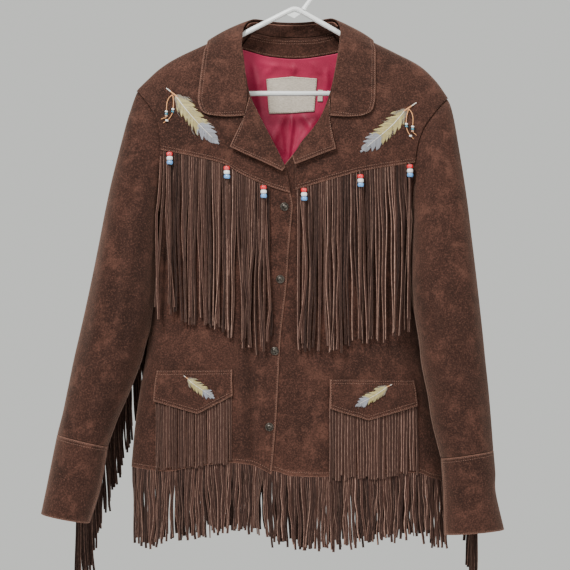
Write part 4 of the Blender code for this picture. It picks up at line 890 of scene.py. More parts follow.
CUFF = {
    "right": rows_of(Ring,
        (56.4, 434.8, 107.5, 446.8, 0, 46, 0), (51.2, 460, 103.5, 472, 0, 45, 0), (46, 486, 98, 497, 0, 43, 0),
        (40, 514.7, 89, 524, 0, 41, 0)),
    "left": rows_of(Ring,
        (493.1, 449.8, 440.4, 457.8, -30, 44, 0), (495, 472, 441.9, 479, -30, 43, 0),
        (495.4, 492, 442.8, 499, -30, 41, 0), (503.8, 529, 443.5, 534, -30, 40, 0)),
}
FRONT_SEAM_STATION = 10
BACK_SEAM_STATION = {"right": 15, "left": 17}
RING_STEPS = 8
STATION_STEPS = 5
TUCK, TUCK_AT_SHOULDER, TUCK_AT_UNDERARM = 2.4, 1.6, 0.5
BACK_FOLD_SHARE, BACK_FOLD_SHIFT = 0.5, (5, 9)
ARM_FOLDS = {
    "right": rows_of(Fold,
        (150, 108, 128, 150, 3.5, 1.6), (152, 116, 136, 175, 3.5, -1.4), (146, 130, 132, 215, 6.0, 1.8),
        (128, 190, 112, 330, 8.0, 2.6), (108, 240, 92, 360, 7.0, -2.0), (146, 240, 124, 352, 6.0, 2.0),
        (120, 330, 96, 352, 6.0, 1.6), (128, 356, 92, 372, 5.0, -1.4), (96, 380, 84, 432, 6.0, 1.8),
        (70, 390, 64, 432, 5.0, -1.4), (112, 404, 96, 432, 4.0, 1.4)),
    "left": rows_of(Fold,
        (436, 120, 450, 165, 4.0, 1.6), (428, 128, 440, 190, 4.0, -1.3), (420, 160, 430, 250, 6.0, 1.8),
        (446, 190, 458, 320, 8.0, 2.4), (466, 230, 474, 350, 7.0, -1.8), (424, 270, 440, 360, 6.0, 1.8),
        (440, 348, 474, 372, 6.0, 1.6), (434, 378, 470, 392, 5.0, -1.4), (448, 392, 456, 446, 6.0, 1.8),
        (474, 396, 480, 444, 5.0, -1.3)),
}

# %% [markdown]
# ## Setting the sleeves in
# The first ring of a sleeve is tucked under the torso like a seam allowance, and the second lies on the armhole. A
# smooth tube goes through all of the rings, takes its creases, and is then cut into the two pieces that are sewn.

# %% Laying the sleeves


def armhole_rows(side):
    """The places of the armhole, from the shoulder down to the underarm."""
    return np.array((RIGHT_ROWS if side == "right" else LEFT_ROWS)[:UNDERARM_ROW + 1], dtype=float)[:, :2].T


def armhole_loop(side):
    """The armhole's points on the outside of the torso: down the front from the shoulder, then up the back."""
    x, y = armhole_rows(side)
    ends = spot(x, y, 0.0)
    front, back = (body_point(face, x[1:-1], y[1:-1]) for face in ("front", "back"))
    return np.concatenate([ends[:1], front, ends[-1:], back[::-1]])


def ring_points(ring, count):
    """The points of a sleeve ring: outer, front, inner and back."""
    outer, inner = spot(ring.outer_x, ring.outer_y, 0.0), spot(ring.inner_x, ring.inner_y, 0.0)
    middle = (outer + inner) / 2 + np.array([0, ring.middle * MM, 0])
    half = (outer - inner) / 2
    lean = unit(np.array([-half[2], 0, half[0]])) * (ring.lean * PIXEL)
    lean = -lean if lean[0] * half[0] > 0 else lean
    angle = 2 * np.pi * np.arange(count)[:, None] / count
    depth = -ring.half_depth * MM * np.sin(angle) * np.array([0, 1, 0])
    return middle + half * np.cos(angle) + depth + lean * np.sin(angle) ** 2


def creased_tube(rings, folds):
    """A fine tube through coarse rings, creased on its front and, the other way round, on its back."""
    tube = finer(rings, RING_STEPS, STATION_STEPS, ring=True)
    normals = grid_normals(tube, tube - tube.mean(axis=1, keepdims=True), ring=True)
    px, py = picture_place(tube)
    forward = np.clip(-normals[..., 1], 0, 1)
    behind = np.clip(normals[..., 1], 0, 1)
    start = smooth_step(np.arange(len(tube)) / (2.0 * RING_STEPS) - 0.5)[:, None]
    depth = fold_depth(folds, px, py) * forward
    depth -= BACK_FOLD_SHARE * fold_depth(folds, px + BACK_FOLD_SHIFT[0], py - BACK_FOLD_SHIFT[1]) * behind
    tube = tube - normals * (depth * start * MM)[..., None]
    return tube, grid_normals(tube, tube - tube.mean(axis=1, keepdims=True), ring=True)


def tube_panel(name, node, tube, normals, first, last, sides):
    """The part of a tube between two stations, drawn back by half a seam gap at each."""
    stations = np.arange(first * STATION_STEPS, last * STATION_STEPS + 1) % tube.shape[1]
    piece, directions = tube[:, stations].copy(), normals[:, stations]
    piece[:, 0] += unit(piece[:, 1] - piece[:, 0]) * SEAM_GAP
    piece[:, -1] += unit(piece[:, -2] - piece[:, -1]) * SEAM_GAP
    panel(name, node, piece, directions, sides)


def tucked_loop(side):
    """The sleeve's seam allowance: the armhole again, further in and under the torso's wall."""
    x, y = armhole_rows(side)
    x = x + (TUCK if side == "right" else -TUCK)
    shoulder = spot(x[:1], read(RIDGE, x[:1]) + TUCK_AT_SHOULDER, 0.0)
    front, back = (body_point(face, x[1:-1], y[1:-1], -(SUEDE + 2 * SEAM_GAP)) for face in ("front", "back"))
    return np.concatenate([shoulder, front, spot(x[-1:], y[-1:] + TUCK_AT_UNDERARM, 0.0), back[::-1]])


for side in ("right", "left"):
    loop = armhole_loop(side)
    away = np.array([-1.0 if side == "right" else 1.0, 0, 0])
    rings = [tucked_loop(side), loop + away * 2 * SEAM_GAP - np.array([0, 0, SEAM_GAP])]
    rings += [ring_points(ring, len(loop)) for ring in SLEEVE[side]]
    tube, normals = creased_tube(np.array(rings), ARM_FOLDS[side])
    seam = BACK_SEAM_STATION[side]
    count = len(loop)
    tube_panel("suede_sleeve_top_" + side, "sleeve_top_" + side, tube, normals, seam - count, FRONT_SEAM_STATION, ())
    tube_panel("suede_sleeve_under_" + side, "sleeve_under_" + side, tube, normals, FRONT_SEAM_STATION, seam, ())
    rings = np.array([ring_points(ring, count) for ring in CUFF[side]])
    tube, normals = creased_tube(rings, ())
    tube_panel("suede_cuff_top_" + side, "cuff_top_" + side, tube, normals, seam - count, FRONT_SEAM_STATION,
               ("top", "bottom", "end"))
    tube_panel("suede_cuff_under_" + side, "cuff_under_" + side, tube, normals, FRONT_SEAM_STATION, seam,
               ("top", "bottom", "start"))
print("sleeve:", panels["sleeve_top_right"].outside.shape, "cuff:", panels["cuff_top_right"].outside.shape)

# %% [markdown]
# ## The collar, its stand and the lapels
# The fall of the collar is laid on spokes that run from the fold to the outer edge, from one wing round the neck to the
# other. The wings lie just off the yokes, and the back of the fall stands free. The lapels are the fronts' own upper
# corners turned out, so they lie on the yokes as well, and they keep their sharp corners.

# %% Tables of the collar and lapels
Spoke = namedtuple("Spoke", "where fold middle edge")
COLLAR = rows_of(
    Spoke,
    ("front", (244.6, 117, 6.0), (226, 118, 5.8), (208.5, 116, 5.4)),
    ("front", (246.2, 110, 6.3), (224, 114, 6.0), (202.5, 112.5, 5.4)),
    ("front", (247.8, 101, 6.8), (222, 105, 6.2), (199, 103, 5.4)),
    ("front", (247.4, 88, 7.2), (222, 92, 6.6), (199.4, 92, 5.4)),
    ("front", (245.8, 72, 7.6), (222, 76, 7.0), (201.2, 77, 5.4)),
    ("front", (244.2, 57, 8.2), (223, 60, 7.4), (203.2, 62, 5.4)),
    ("front", (242.6, 46, 8.8), (223.5, 48.5, 7.6), (205, 52, 5.4)),
    ("free", (242, 36, -26), (224, 38, -21), (206, 45.5, -14)),
    ("free", (243, 29, -14), (227, 30.2, -9), (206.8, 41, -5)),
    ("free", (246.5, 21.5, -2), (231, 26.2, 2), (209, 38.8, 4)),
    ("free", (252, 17.8, 8), (236, 25.5, 13), (212.5, 41, 12)),
    ("free", (258, 17.2, 14), (243, 28.5, 22), (218.5, 49, 25)),
    ("free", (266, 18.2, 20), (253, 34, 32), (233, 61, 40.5)),
    ("free", (278, 19.4, 25), (272, 40, 39), (259, 70, 47)),
    ("free", (292, 19.8, 27), (292, 43, 42), (292, 74, 49)),
    ("free", (306, 19.4, 25), (312, 40, 39), (325, 70, 47)),
    ("free", (318, 18.2, 20), (331, 34, 32), (351, 61, 40.5)),
    ("free", (326, 16.9, 14), (341, 28, 22), (365, 49, 25)),
    ("free", (332.5, 16.8, 8), (348, 25, 13), (369.5, 41, 12)),
    ("free", (337.5, 20.5, -2), (352.5, 26, 2), (372, 38.4, 4)),
    ("free", (340.2, 28.5, -14), (356.5, 30, -9), (374.2, 40.2, -5)),
    ("free", (340.2, 36, -26), (358, 38, -21), (374.6, 45, -14)),
    ("front", (339, 46, 8.8), (357.5, 48.5, 7.6), (374.8, 52, 5.4)),
    ("front", (337.4, 57, 8.2), (356.5, 60, 7.4), (374.8, 62, 5.4)),
    ("front", (334.6, 72, 7.6), (355, 76, 7.0), (374.8, 77, 5.4)),
    ("front", (332, 88, 7.2), (354, 92, 6.6), (374.6, 92, 5.4)),
    ("front", (330.6, 101, 6.8), (353, 105, 6.2), (374, 103, 5.4)),
    ("front", (329.9, 110, 6.3), (350, 114, 6.0), (370.6, 112.5, 5.4)),
    ("front", (329.4, 117, 6.0), (346, 118, 5.8), (361.5, 117, 5.4)),
)
LAPEL = {
    "right": rows_of(Row,
        (244.4, 118.6, 249.6, 98.5), (241.3, 125, 256.3, 109.7), (236, 136, 262.5, 123.5), (230.6, 148, 268, 133),
        (245, 155, 273.5, 143.5), (263, 163, 279.3, 155.5), (282, 172, 285.4, 168)),
    "left": rows_of(Row,
        (328.7, 118.8, 329.6, 99.5), (330.3, 127, 326, 109.8), (332.4, 138, 321, 118.3), (335.4, 149.8, 312, 130.2),
        (319, 156, 304.3, 140.3), (304, 162, 297, 150), (294.8, 165.4, 292, 156.5)),
}
LAPEL_LIFT = {"right": 6.4 * MM, "left": 4.8 * MM}
LAPEL_BELLY, LAPEL_STAND_OFF = 1.2 * MM, 4.8 * MM
MIDDLE_X = 292
STAND_TOP = ((246.5, 25.6, -1), (250.5, 21.8, 4), (258, 21, 10.5), (267, 21.6, 16.5), (278.5, 22.6, 21.2),
             (292, 23, 23.2), (305.5, 22.6, 21.2), (317, 21.6, 16.5), (325.5, 20.6, 10.5), (333.5, 21, 4),
             (337.5, 25.2, -1))

# %% [markdown]
# ## Laying the collar, the stand and the lapels
# A curve through three places gives each spoke its roll: the fold, the middle and the edge. The stand is a low band
# between the fold and the back's neck, and the lapels stand off a little where they roll over.

# %% Laying the collar, the stand and the lapels


def spoke_points(spoke, shares):
    """The outside points of one spoke, on the smooth curve through its three places."""
    a, b, c = [body_point("front", x, y, out * MM) if spoke.where == "front" else spot(x, y, out * MM)
               for x, y, out in (spoke.fold, spoke.middle, spoke.edge)]
    t = shares[:, None]
    return a * (1 - t) * (1 - 2 * t) + 4 * b * t * (1 - t) + c * t * (2 * t - 1)


shares = np.concatenate([np.linspace(0, 0.86, 15), (0.91, 0.95, 0.98, 1)])
spokes = np.array([spoke_points(spoke, shares) for spoke in COLLAR])
for k, away in enumerate((3.2, 2.6, 1.8, 1.0, 0.5)):
    for line, strength in ((spokes[k], 1.0), (spokes[-1 - k], 0.8)):
        line[:, 1] -= strength * away * MM * np.minimum(1, 0.35 + shares)
grid = smooth_along(spokes, 5)
centre = spot(MIDDLE_X, 62, 0.0)
outwards = (grid - centre) * np.array([1, 2.5, 1])
panel("suede_collar", "collar", grid, grid_normals(grid, outwards), ("top", "bottom", "end"), COLLAR_SUEDE)

top = np.array([spot(x, y, depth * MM) for x, y, depth in STAND_TOP])
foot_x = np.linspace(244.5, 339.5, len(top))
foot = body_point("back", foot_x, read(BACK_NECK, foot_x)) + np.array([0, 0, 2 * SEAM_GAP])
middle = spot(MIDDLE_X, 28, 0.0)
inner = smooth_along(np.swapaxes(np.array([top + (foot - top) * k / 6 for k in range(7)]), 0, 1), 5)
inner = np.swapaxes(inner, 0, 1)
outward = unit((inner - middle) * np.array([1, 1.6, 0]))
panel("suede_stand", "collar_stand", inner + outward * SUEDE, outward, ("top",))

lapel_shares = np.linspace(0, 1, 13)
for side in ("right", "left"):
    table = np.array(LAPEL[side])
    fine_rows = [Row(*np.array([finer_shares(table[:, k], 6) for k in range(4)])[:, i])
                 for i in range((len(table) - 1) * 6 + 1)]
    places = np.array([row_places(row, None, 0, lapel_shares) for row in fine_rows])
    x, y = places[..., 0], places[..., 1]
    belly = LAPEL_BELLY * np.sin(np.pi * lapel_shares)
    stand_off = LAPEL_STAND_OFF * (1 - lapel_shares) ** 1.3 * smooth_step(np.linspace(0, 2.2, len(fine_rows)))[:, None]
    lift = LAPEL_LIFT[side] + front_raise(side, x, y) + belly + stand_off
    panel("suede_lapel_" + side, "lapel_" + side, body_point("front", x, y, lift), body_normal("front", x, y),
          ("top", "bottom", "start"))
print("collar:", panels["collar"].outside.shape)

# %% [markdown]
# ## Inside the neck
# A suede facing finishes the back neck, and the satin lining hangs below it with soft, uneven wrinkles and a pleat down
# its middle that gives the wearer's shoulders room. The wrinkles rise towards the viewer and fade out under the label.

# %% Tables of the neck's inside
FACING_EDGE = rows_of(Point, (236, 44), (243.6, 46), (269, 52.8), (295, 55), (338, 49.4), (348, 46))
LINING_TOP = rows_of(Point,
    (214, 54), (236, 45.4), (243.6, 47), (269, 53.8), (295, 56), (338, 50.4), (348, 47.4), (370, 54))
LINING_BOTTOM = 236.0
LABEL_TOP = rows_of(Point, (266, 76.3), (291.8, 73.5), (317.7, 75.8))
LABEL_BOTTOM = rows_of(Point, (268.3, 111.9), (291.8, 111), (314.8, 109.6))
TAG_TOP = rows_of(Point, (318.6, 87.2), (323.4, 87.4))
TAG_BOTTOM = rows_of(Point, (318, 99.3), (322.8, 99.3))
LINING_SOFTNESS = 0.4
LINING_FOLDS = rows_of(Fold,
    (294, 57, 292, 128, 2.4, 3.2), (292, 120, 287, 168, 2.6, 3.4), (284, 112, 270, 146, 3.2, 2.8),
    (303, 112, 318, 136, 3.4, 3.0), (276, 60, 256, 84, 3.4, 2.2), (312, 57, 330, 84, 3.4, 2.4),
    (252, 62, 262, 112, 2.6, 2.2), (328, 66, 322, 112, 2.8, 2.2), (262, 120, 284, 152, 3.0, 2.4),
    (316, 118, 296, 150, 3.0, 2.4), (280, 128, 286, 164, 2.2, 1.8), (302, 126, 293, 160, 2.2, 1.8),
    (260, 60, 300, 66, 3.0, 1.2), (240, 60, 236, 120, 4.0, 2.0), (346, 62, 350, 120, 4.0, 2.0),
    (268, 170, 262, 232, 5.0, 2.4), (310, 170, 318, 232, 5.0, 2.4))

# %% [markdown]
# ## Laying the inside of the neck
# Each piece is stretched between a top and a bottom edge and laid on the back's inside, one layer after the other: the
# facing, the lining, the label and the tag.

# %% Laying the inside of the neck


def between_edges(top_edge, bottom_edge, columns, rows):
    """A grid of places between two edges."""
    shares = np.linspace(0, 1, columns + 1)
    high, low = along(top_edge, shares), along(bottom_edge, shares)
    return high + (low - high) * np.linspace(0, 1, rows + 1)[:, None, None]


def laid(name, node, face, places, lift, *cloth):
    """A panel between edges, laid on the torso. cloth is what panel takes last."""
    x, y = places[..., 0], places[..., 1]
    panel(name, node, body_point(face, x, y, lift), body_normal(face, x, y), *cloth)


def edge_points(edge, x0, x1, down=0.0):
    """Points of an edge table between two places."""
    x = np.linspace(x0, x1, 30)
    return np.stack([x, read(edge, x) + down], axis=-1)


UNDER_BACK = -(SUEDE + INSIDE_GAP)
places = between_edges(edge_points(BACK_NECK, 250, 334, 1.0), edge_points(FACING_EDGE, 239, 345), 60, 10)
laid("suede_facing", "neck_facing", "back", places, UNDER_BACK, ("bottom",))

low_edge = np.array([(216, LINING_BOTTOM), (368, LINING_BOTTOM)])
places = between_edges(edge_points(LINING_TOP, 216, 368), low_edge, 110, 120)
x, y = places[..., 0], places[..., 1]
under_label = smooth_step((x - 260) / 7) * smooth_step((329 - x) / 7) * smooth_step((y - 68) / 6)
under_label *= smooth_step((118 - y) / 7)
wrinkles = LINING_SOFTNESS * fold_depth(LINING_FOLDS, x, y) * (1 - 0.9 * under_label)
wrinkles *= smooth_step((y - read(LINING_TOP, x)) / 10)
wrinkles = np.minimum(wrinkles, 0.6 + 3 * (1 - under_label)) * MM
laid("satin_lining", "lining", "back", places, UNDER_BACK - wrinkles, (), LINING_CLOTH, satin, "lining")

on_lining = UNDER_BACK - LINING_CLOTH - LAYER_GAP
places = between_edges(LABEL_TOP, LABEL_BOTTOM, 36, 24)
wave = 0.5 * MM * np.sin(places[..., 0] * 0.16) * np.cos(places[..., 1] * 0.1)
laid("woven_label", "label", "back", places, on_lining - np.abs(wave), (), LABEL_CLOTH, tape, "label")
laid("woven_tag", "tag", "back", between_edges(TAG_TOP, TAG_BOTTOM, 6, 10), on_lining, (), LABEL_CLOTH, tape, "label")
print("lining:", panels["lining"].outside.shape)

# %% [markdown]
# ## The pocket flaps
# Each flap is sewn down along its top and stands off over the cut fringe below, with a point in the middle of its edge.
# The right front's lap lifts whatever lies on it, and its height is read at one row of the picture for each kind.

# %% Laying the flaps
POCKET_ROW, YOKE_FRINGE_ROW, HEM_ROW = 400, 200, 470
FLAP_TOP = {"right": rows_of(Point, (157.6, 370.3), (233, 368.8)), "left": rows_of(Point,
    (329.2, 378.4), (413, 380))}
FLAP_BOTTOM = {
    "right": rows_of(Point, (155, 401), (198, 413), (233.8, 394.8)),
    "left": rows_of(Point, (328.8, 407.8), (367.8, 419.7), (416, 406)),
}


def flap_lift(side, x, down):
    """How far the outside of a flap stands off its front, at a share of the way down."""
    return SUEDE + LAYER_GAP + 3.0 * MM * smooth_step(down * 2.2) + front_raise(side, x, POCKET_ROW)


for side in ("right", "left"):
    places = between_edges(FLAP_TOP[side], FLAP_BOTTOM[side], 48, 24)
    down = np.linspace(0, 1, places.shape[0])[:, None]
    wave = 0.5 * MM * np.sin(places[..., 0] * 0.13) * down
    laid("suede_flap_" + side, "flap_" + side, "front", places, flap_lift(side, places[..., 0], down) + wave,
         ("bottom", "start", "end"))
print("flap:", panels["flap_right"].outside.shape)

# %% [markdown]
# ## Cut strands with Geometry Nodes
# There are hundreds of strands, so each is only drawn as a line of points here: where it hangs, which way its flat side
# faces, how wide it is and its tone. A node tree sweeps a flat, four-sided profile along all the lines of a fringe at
# once. Modelling each strand by hand would take days, and hair particles can't hold a flat, turned section.

# %% The tree that sweeps strands
STRAND_POINTS = 15


def socket(tree, name, kind, way="INPUT"):
    """Adds a named input or output to a node tree."""
    return tree.interface.new_socket(name, in_out=way, socket_type="NodeSocket" + kind)


def add_node(tree, kind, links=(), **settings):
    """Adds a node, sets it, and links sockets or plain values to its inputs."""
    node = tree.nodes.new(kind)
    for label, value in settings.items():
        setattr(node, label, value)
    for label, value in dict(links).items():
        plug(tree, value, node.inputs[label])
    return node


def start_tree(name, inputs):
    """A node tree with Geometry in and out and named inputs. Returns the tree and its input sockets by name."""
    tree = bpy.data.node_groups.new(name, "GeometryNodeTree")
    socket(tree, "Geometry", "Geometry")
    for label, kind in inputs:
        socket(tree, label, kind)
    socket(tree, "Geometry", "Geometry", "OUTPUT")
    return tree, tree.nodes.new("NodeGroupInput").outputs


def end_tree(tree, geometry, material):
    """Ends a tree: everything realized, smooth, and in one material."""
    real = add_node(tree, "GeometryNodeRealizeInstances", {"Geometry": geometry})
    smooth = add_node(tree, "GeometryNodeSetShadeSmooth", {"Geometry": real.outputs[0]})
    painted = add_node(tree, "GeometryNodeSetMaterial", {"Geometry": smooth.outputs[0], "Material": material})
    out = tree.nodes.new("NodeGroupOutput")
    tree.links.new(painted.outputs[0], out.inputs["Geometry"])


def strand_tree():
    """Lines to flat strands: a four-sided profile with a middle point on each side, swept along each line."""
    tree, given = start_tree("strands", (("Width", "Float"), ("Thickness", "Float"), ("Material", "Material")))
    curve = add_node(tree, "GeometryNodeMeshToCurve", {"Mesh": given["Geometry"]})
    facing = add_node(tree, "GeometryNodeInputNamedAttribute", {"Name": "facing"}, data_type="FLOAT_VECTOR")
    turned = add_node(tree, "GeometryNodeSetCurveNormal",
                      {"Curve": curve.outputs[0], "Normal": facing.outputs["Attribute"]}, mode="FREE")
    profile = add_node(tree, "GeometryNodeCurvePrimitiveQuadrilateral",
                       {"Width": given["Thickness"], "Height": given["Width"]})
    split = add_node(tree, "GeometryNodeSubdivideCurve", {"Curve": profile.outputs[0], "Cuts": 1})
    place = add_node(tree, "ShaderNodeSeparateXYZ", {"Vector": tree.nodes.new("GeometryNodeInputPosition").outputs[0]})
    share = math_of(tree, "ADD", math_of(tree, "DIVIDE", place.outputs["Y"], given["Width"]), 0.5)
    stored = add_node(tree, "GeometryNodeStoreNamedAttribute",
                      {"Geometry": split.outputs[0], "Name": "side", "Value": share}, data_type="FLOAT", domain="POINT")
    width = add_node(tree, "GeometryNodeInputNamedAttribute", {"Name": "width"}, data_type="FLOAT")
    swept = add_node(tree, "GeometryNodeCurveToMesh",
                     {"Curve": turned.outputs[0], "Profile Curve": stored.outputs[0],
                      "Scale": width.outputs["Attribute"], "Fill Caps": True})
    end_tree(tree, swept.outputs[0], given["Material"])
    return tree


def line_mesh(name, lines, numbers):
    """A mesh of lines. lines is strands by points by 3, and numbers are arrays for its points."""
    count, length = lines.shape[:2]
    first = (np.arange(count) * length)[:, None] + np.arange(length - 1)
    edges = np.stack([first, first + 1], axis=-1).reshape(-1, 2)
    mesh = bpy.data.meshes.new(name)
    mesh.from_pydata(lines.reshape(-1, 3).tolist(), edges.tolist(), [])
    for label, values in numbers.items():
        values = np.broadcast_to(values, lines.shape[:2] + values.shape[2:]).astype(np.float32)
        if values.ndim == 3:
            mesh.attributes.new(label, "FLOAT_VECTOR", "POINT").data.foreach_set("vector", values.ravel())
        else:
            mesh.attributes.new(label, "FLOAT", "POINT").data.foreach_set("value", values.ravel())
    thing = bpy.data.objects.new(name, mesh)
    bpy.context.collection.objects.link(thing)
    return thing


def grown(thing, tree, values, material):
    """Runs a node tree on an object, keeps the mesh that comes out, and drops the modifier."""
    modifier = thing.modifiers.new("tree", "NODES")
    modifier.node_group = tree
    for item in tree.interface.items_tree:
        if item.in_out == "INPUT" and item.name in values:
            modifier[item.identifier] = values[item.name]
    made = bpy.data.meshes.new_from_object(thing.evaluated_get(bpy.context.evaluated_depsgraph_get()))
    old = thing.data
    thing.modifiers.clear()
    thing.data = made
    bpy.data.meshes.remove(old)
    if not made.materials:
        made.materials.append(material)
    print("%s: %d faces" % (thing.name, len(made.polygons)))


sweep = strand_tree()


def sweep_strands(name, node, lines, facing, tone, width, cut_width, cut_thickness):
    """Sweeps a fringe from its lines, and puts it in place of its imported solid."""
    thing = line_mesh(name, lines, {"facing": facing, "tone": tone, "width": width})
    values = {"Width": cut_width, "Thickness": cut_thickness, "Material": strand_suede}
    grown(thing, sweep, values, strand_suede)
    declare(thing, (node,))
    return thing


# %% [markdown]
# ## How a fringe hangs
# A cut strand hangs straight down from its root, but years of wear bend it: it sways a little with its neighbours,
# curls on its own, twists to show its side, and some lie over others. Each strand gets a level off the cloth, so that
# strands which cross do so one in front of the other, as the real ones do.

# %% Hanging a fringe
RECEDE = 5.0 * MM
LEVEL = 1.25 * MM
STRAND_THICKNESS = 1.8 * MM
CUT_THICKNESS = 1.15 * MM
ROOT_JITTER = 0.14
CURLED_SHARE = 0.12
Sway = namedtuple("Sway", "together alone curl twist length_spread")
LOOSE = Sway(2.1, 2.1, 0.6, 30, 3.4)
HANGING = Sway(2.1, 1.5, 0.6, 28, 2.8)
BACKING = Sway(2.1, 0.8, 0.4, 14, 2.6)
NEAT = Sway(0.5, 0.35, 0.15, 5, 1.5)


def turned_about_up(facing, degrees):
    """Directions turned about the vertical."""
    angle = np.radians(degrees)
    c, s = np.cos(angle), np.sin(angle)
    return np.stack([c * facing[..., 0] - s * facing[..., 1], s * facing[..., 0] + c * facing[..., 1],
                     facing[..., 2]], axis=-1)


def sideways(x, s, sway, rng):
    """How far each strand swings sideways on its way down, in picture pixels."""
    count = x.shape[0]
    shared = np.sin(x * 0.21 + 1.6 * s) + 0.7 * np.sin(x * 0.083 + 2.4 * s + 1.0)
    own = rng.normal(0, 1, (count, 1)) * s ** 1.4
    waves = np.sin(2 * np.pi * (s * rng.uniform(0.8, 2.4, (count, 1)) + rng.uniform(0, 1, (count, 1))))
    return sway.together * shared * s + sway.alone * own + sway.curl * waves * np.minimum(1, 3 * s)


def hang_fringe(name, node, face, edge, ends, count, x0, x1, lift, sway, seed, drop=0.35, still_below=None,
                cut_width=3.5 * MM, tones=(0.05, 0.9), strays=()):
    """A fringe of cut strands that hangs from an edge of places and follows the torso down."""
    rng = np.random.default_rng(seed)
    x = (x0 + (x1 - x0) * (np.arange(count) + 0.5) / count)[:, None]
    x = x + rng.uniform(-ROOT_JITTER, ROOT_JITTER, (count, 1)) * (x1 - x0) / count
    s = np.linspace(0, 1, STRAND_POINTS)[None, :]
    root = read(edge, x) + drop
    end = read(ends, x) + rng.normal(0, sway.length_spread, (count, 1))
    at, row = x + sideways(x, s, sway, rng), root + (end - root) * s
    loose = [int(np.argmin(np.abs(x[:, 0] - stray[0].x))) for stray in strays]
    for k, stray in zip(loose, strays):
        path = along(smooth_along(np.array([(p.x, p.y) for p in stray]), 6), s[0])
        at[k], row[k] = path[:, 0], path[:, 1]
    level_row = row if still_below is None else np.minimum(row, read(still_below, at))
    out = body_normal(face, at, level_row)
    out = unit(out * np.array([1, 1, 0]))
    depth = body_depth(face, at, level_row)
    back = depth[:, :1] - depth
    held = np.maximum(0.0, 1 - RECEDE / np.maximum(np.abs(back), 1e-9))
    depth = depth + np.where(np.abs(depth) < np.abs(depth[:, :1]), back * held, 0.0)
    level = (np.arange(count) % 3 + rng.integers(0, 2, count)) % 3
    level[loose] = 3
    height = lift(at, s) + (level[:, None] * LEVEL * min(1.0, sway.together)) * smooth_step(5 * s)
    lines = spot(at, row, depth) + out * height[..., None]
    twist = sway.twist * (rng.normal(0, 1, (count, 1)) * s + 0.5 * rng.normal(0, 1, (count, 1)))
    twist = twist + 1.6 * sway.twist * (rng.uniform(0, 1, (count, 1)) < CURLED_SHARE) * s
    tone = rng.uniform(tones[0], tones[1], (count, 1))
    tone[loose] = 1.0
    width = (1 - 0.12 * s) * rng.uniform(0.86, 1.12, (count, 1))
    return sweep_strands(name, node, lines, turned_about_up(out, twist), tone, width, cut_width, CUT_THICKNESS)


YOKE_ENDS = {
    "right": rows_of(Point,
        (162, 308), (177, 313), (186, 320), (200, 323), (221, 327), (230, 333), (243, 341.6), (253.6, 346.5),
        (261, 350.5), (268, 341)),
    "left": rows_of(Point, (297, 350), (326, 347), (351, 343), (396, 334), (410, 324)),
}
STRAYS = {
    "right": (rows_of(Point, (162.2, 157), (161.5, 230), (162.5, 319)), rows_of(Point,
        (168.5, 160), (171, 230), (177, 307)),
              rows_of(Point, (265.5, 195), (268, 290), (266.5, 341))),
    "left": (rows_of(Point, (301, 197), (306, 270), (299, 338)),),
}
for side, (x0, x1, seed) in {"right": (162.0, 269.8, 11), "left": (297.0, 410.4, 12)}.items():
    def lift(x, s, side=side):
        rise = front_raise(side, x, YOKE_FRINGE_ROW)
        return LAYER_GAP + STRAND_THICKNESS / 2 + 3.2 * MM * smooth_step(3 * s) + rise
    hang_fringe("cut_fringe_yoke_" + side, "fringe_yoke_" + side, "front", YOKE_EDGE[side],
                                          YOKE_ENDS[side], 43, x0, x1, lift, LOOSE, seed, strays=STRAYS[side])

# %% [markdown]
# ## The pocket fringes and the hem fringe
# The pocket's fringe is one panel cut into nearly 30 narrow strips, which still lie side by side. The fringe of the hem
# is looser. It hangs free below the jacket, in three runs: under each front and under the back. The run under the back
# gets darker tones, painted shade for the shadow it hangs in behind the fronts' runs.

# %% Pocket and hem fringes
POCKET_ENDS = {"right": rows_of(Point, (156, 469), (194, 466), (231, 461)),
               "left": rows_of(Point, (328, 478), (370, 476), (418, 472))}
HEM_ENDS = rows_of(Point,
    (131, 535), (140, 542), (148, 543), (178, 538), (191, 537), (214, 532), (227, 529), (252, 528), (266, 536),
    (273, 542), (283, 541), (301, 547), (321, 548), (339, 545), (356, 542), (389, 537), (398, 535), (410, 535.5),
    (427, 534), (435, 545), (446, 546))
for side, (x0, x1, root, seed) in {"right": (156.0, 232.5, 389, 21), "left": (329.0, 417.5, 397, 22)}.items():
    def lift(x, s, side=side):
        return LAYER_GAP + CUT_THICKNESS / 2 + 0.6 * MM * s + front_raise(side, x, POCKET_ROW)
    hang_fringe(
        "cut_fringe_pocket_" + side, "fringe_pocket_" + side, "front", rows_of(Point, (x0, root), (x1, root)),
        POCKET_ENDS[side], 27 if side == "right" else 30, x0, x1, lift, NEAT, seed, cut_width=3.75 * MM,
        tones=(0.4, 0.9))
# Painted shade: the run under the back takes darker tones, for the shadow it hangs in.
for part, (x0, x1, count, seed) in {"right": (131.2, 272.0, 64, 31), "left": (272.5, 445.6, 80, 32),
                                    "back": (131.6, 445.2, 132, 33)}.items():
    def lift(x, s, part=part):
        rise = front_raise("right", x, HEM_ROW) if part == "right" else 0.0
        return rise - SUEDE / 2 + 0.0 * s
    hang_fringe(
        "cut_fringe_hem_" + part, "fringe_hem_" + part, "back" if part == "back" else "front", HEM_EDGE[part],
        HEM_ENDS, count, x0, x1, lift, BACKING if part == "back" else HANGING, seed, drop=-0.2,
        still_below=HEM_EDGE[part], cut_width=(4.9 if part == "back" else 4.0) * MM,
        tones=(0.0, 0.5) if part == "back" else (0.1, 0.95))

# %% [markdown]
# ## The sleeve fringes
# A third kind of fringe is caught in the back seam of each arm, from above the elbow to the end of the cuff. Its
# strands fall straight down behind the arm. Because the sleeve slants outwards, they show in the gap beside the body.

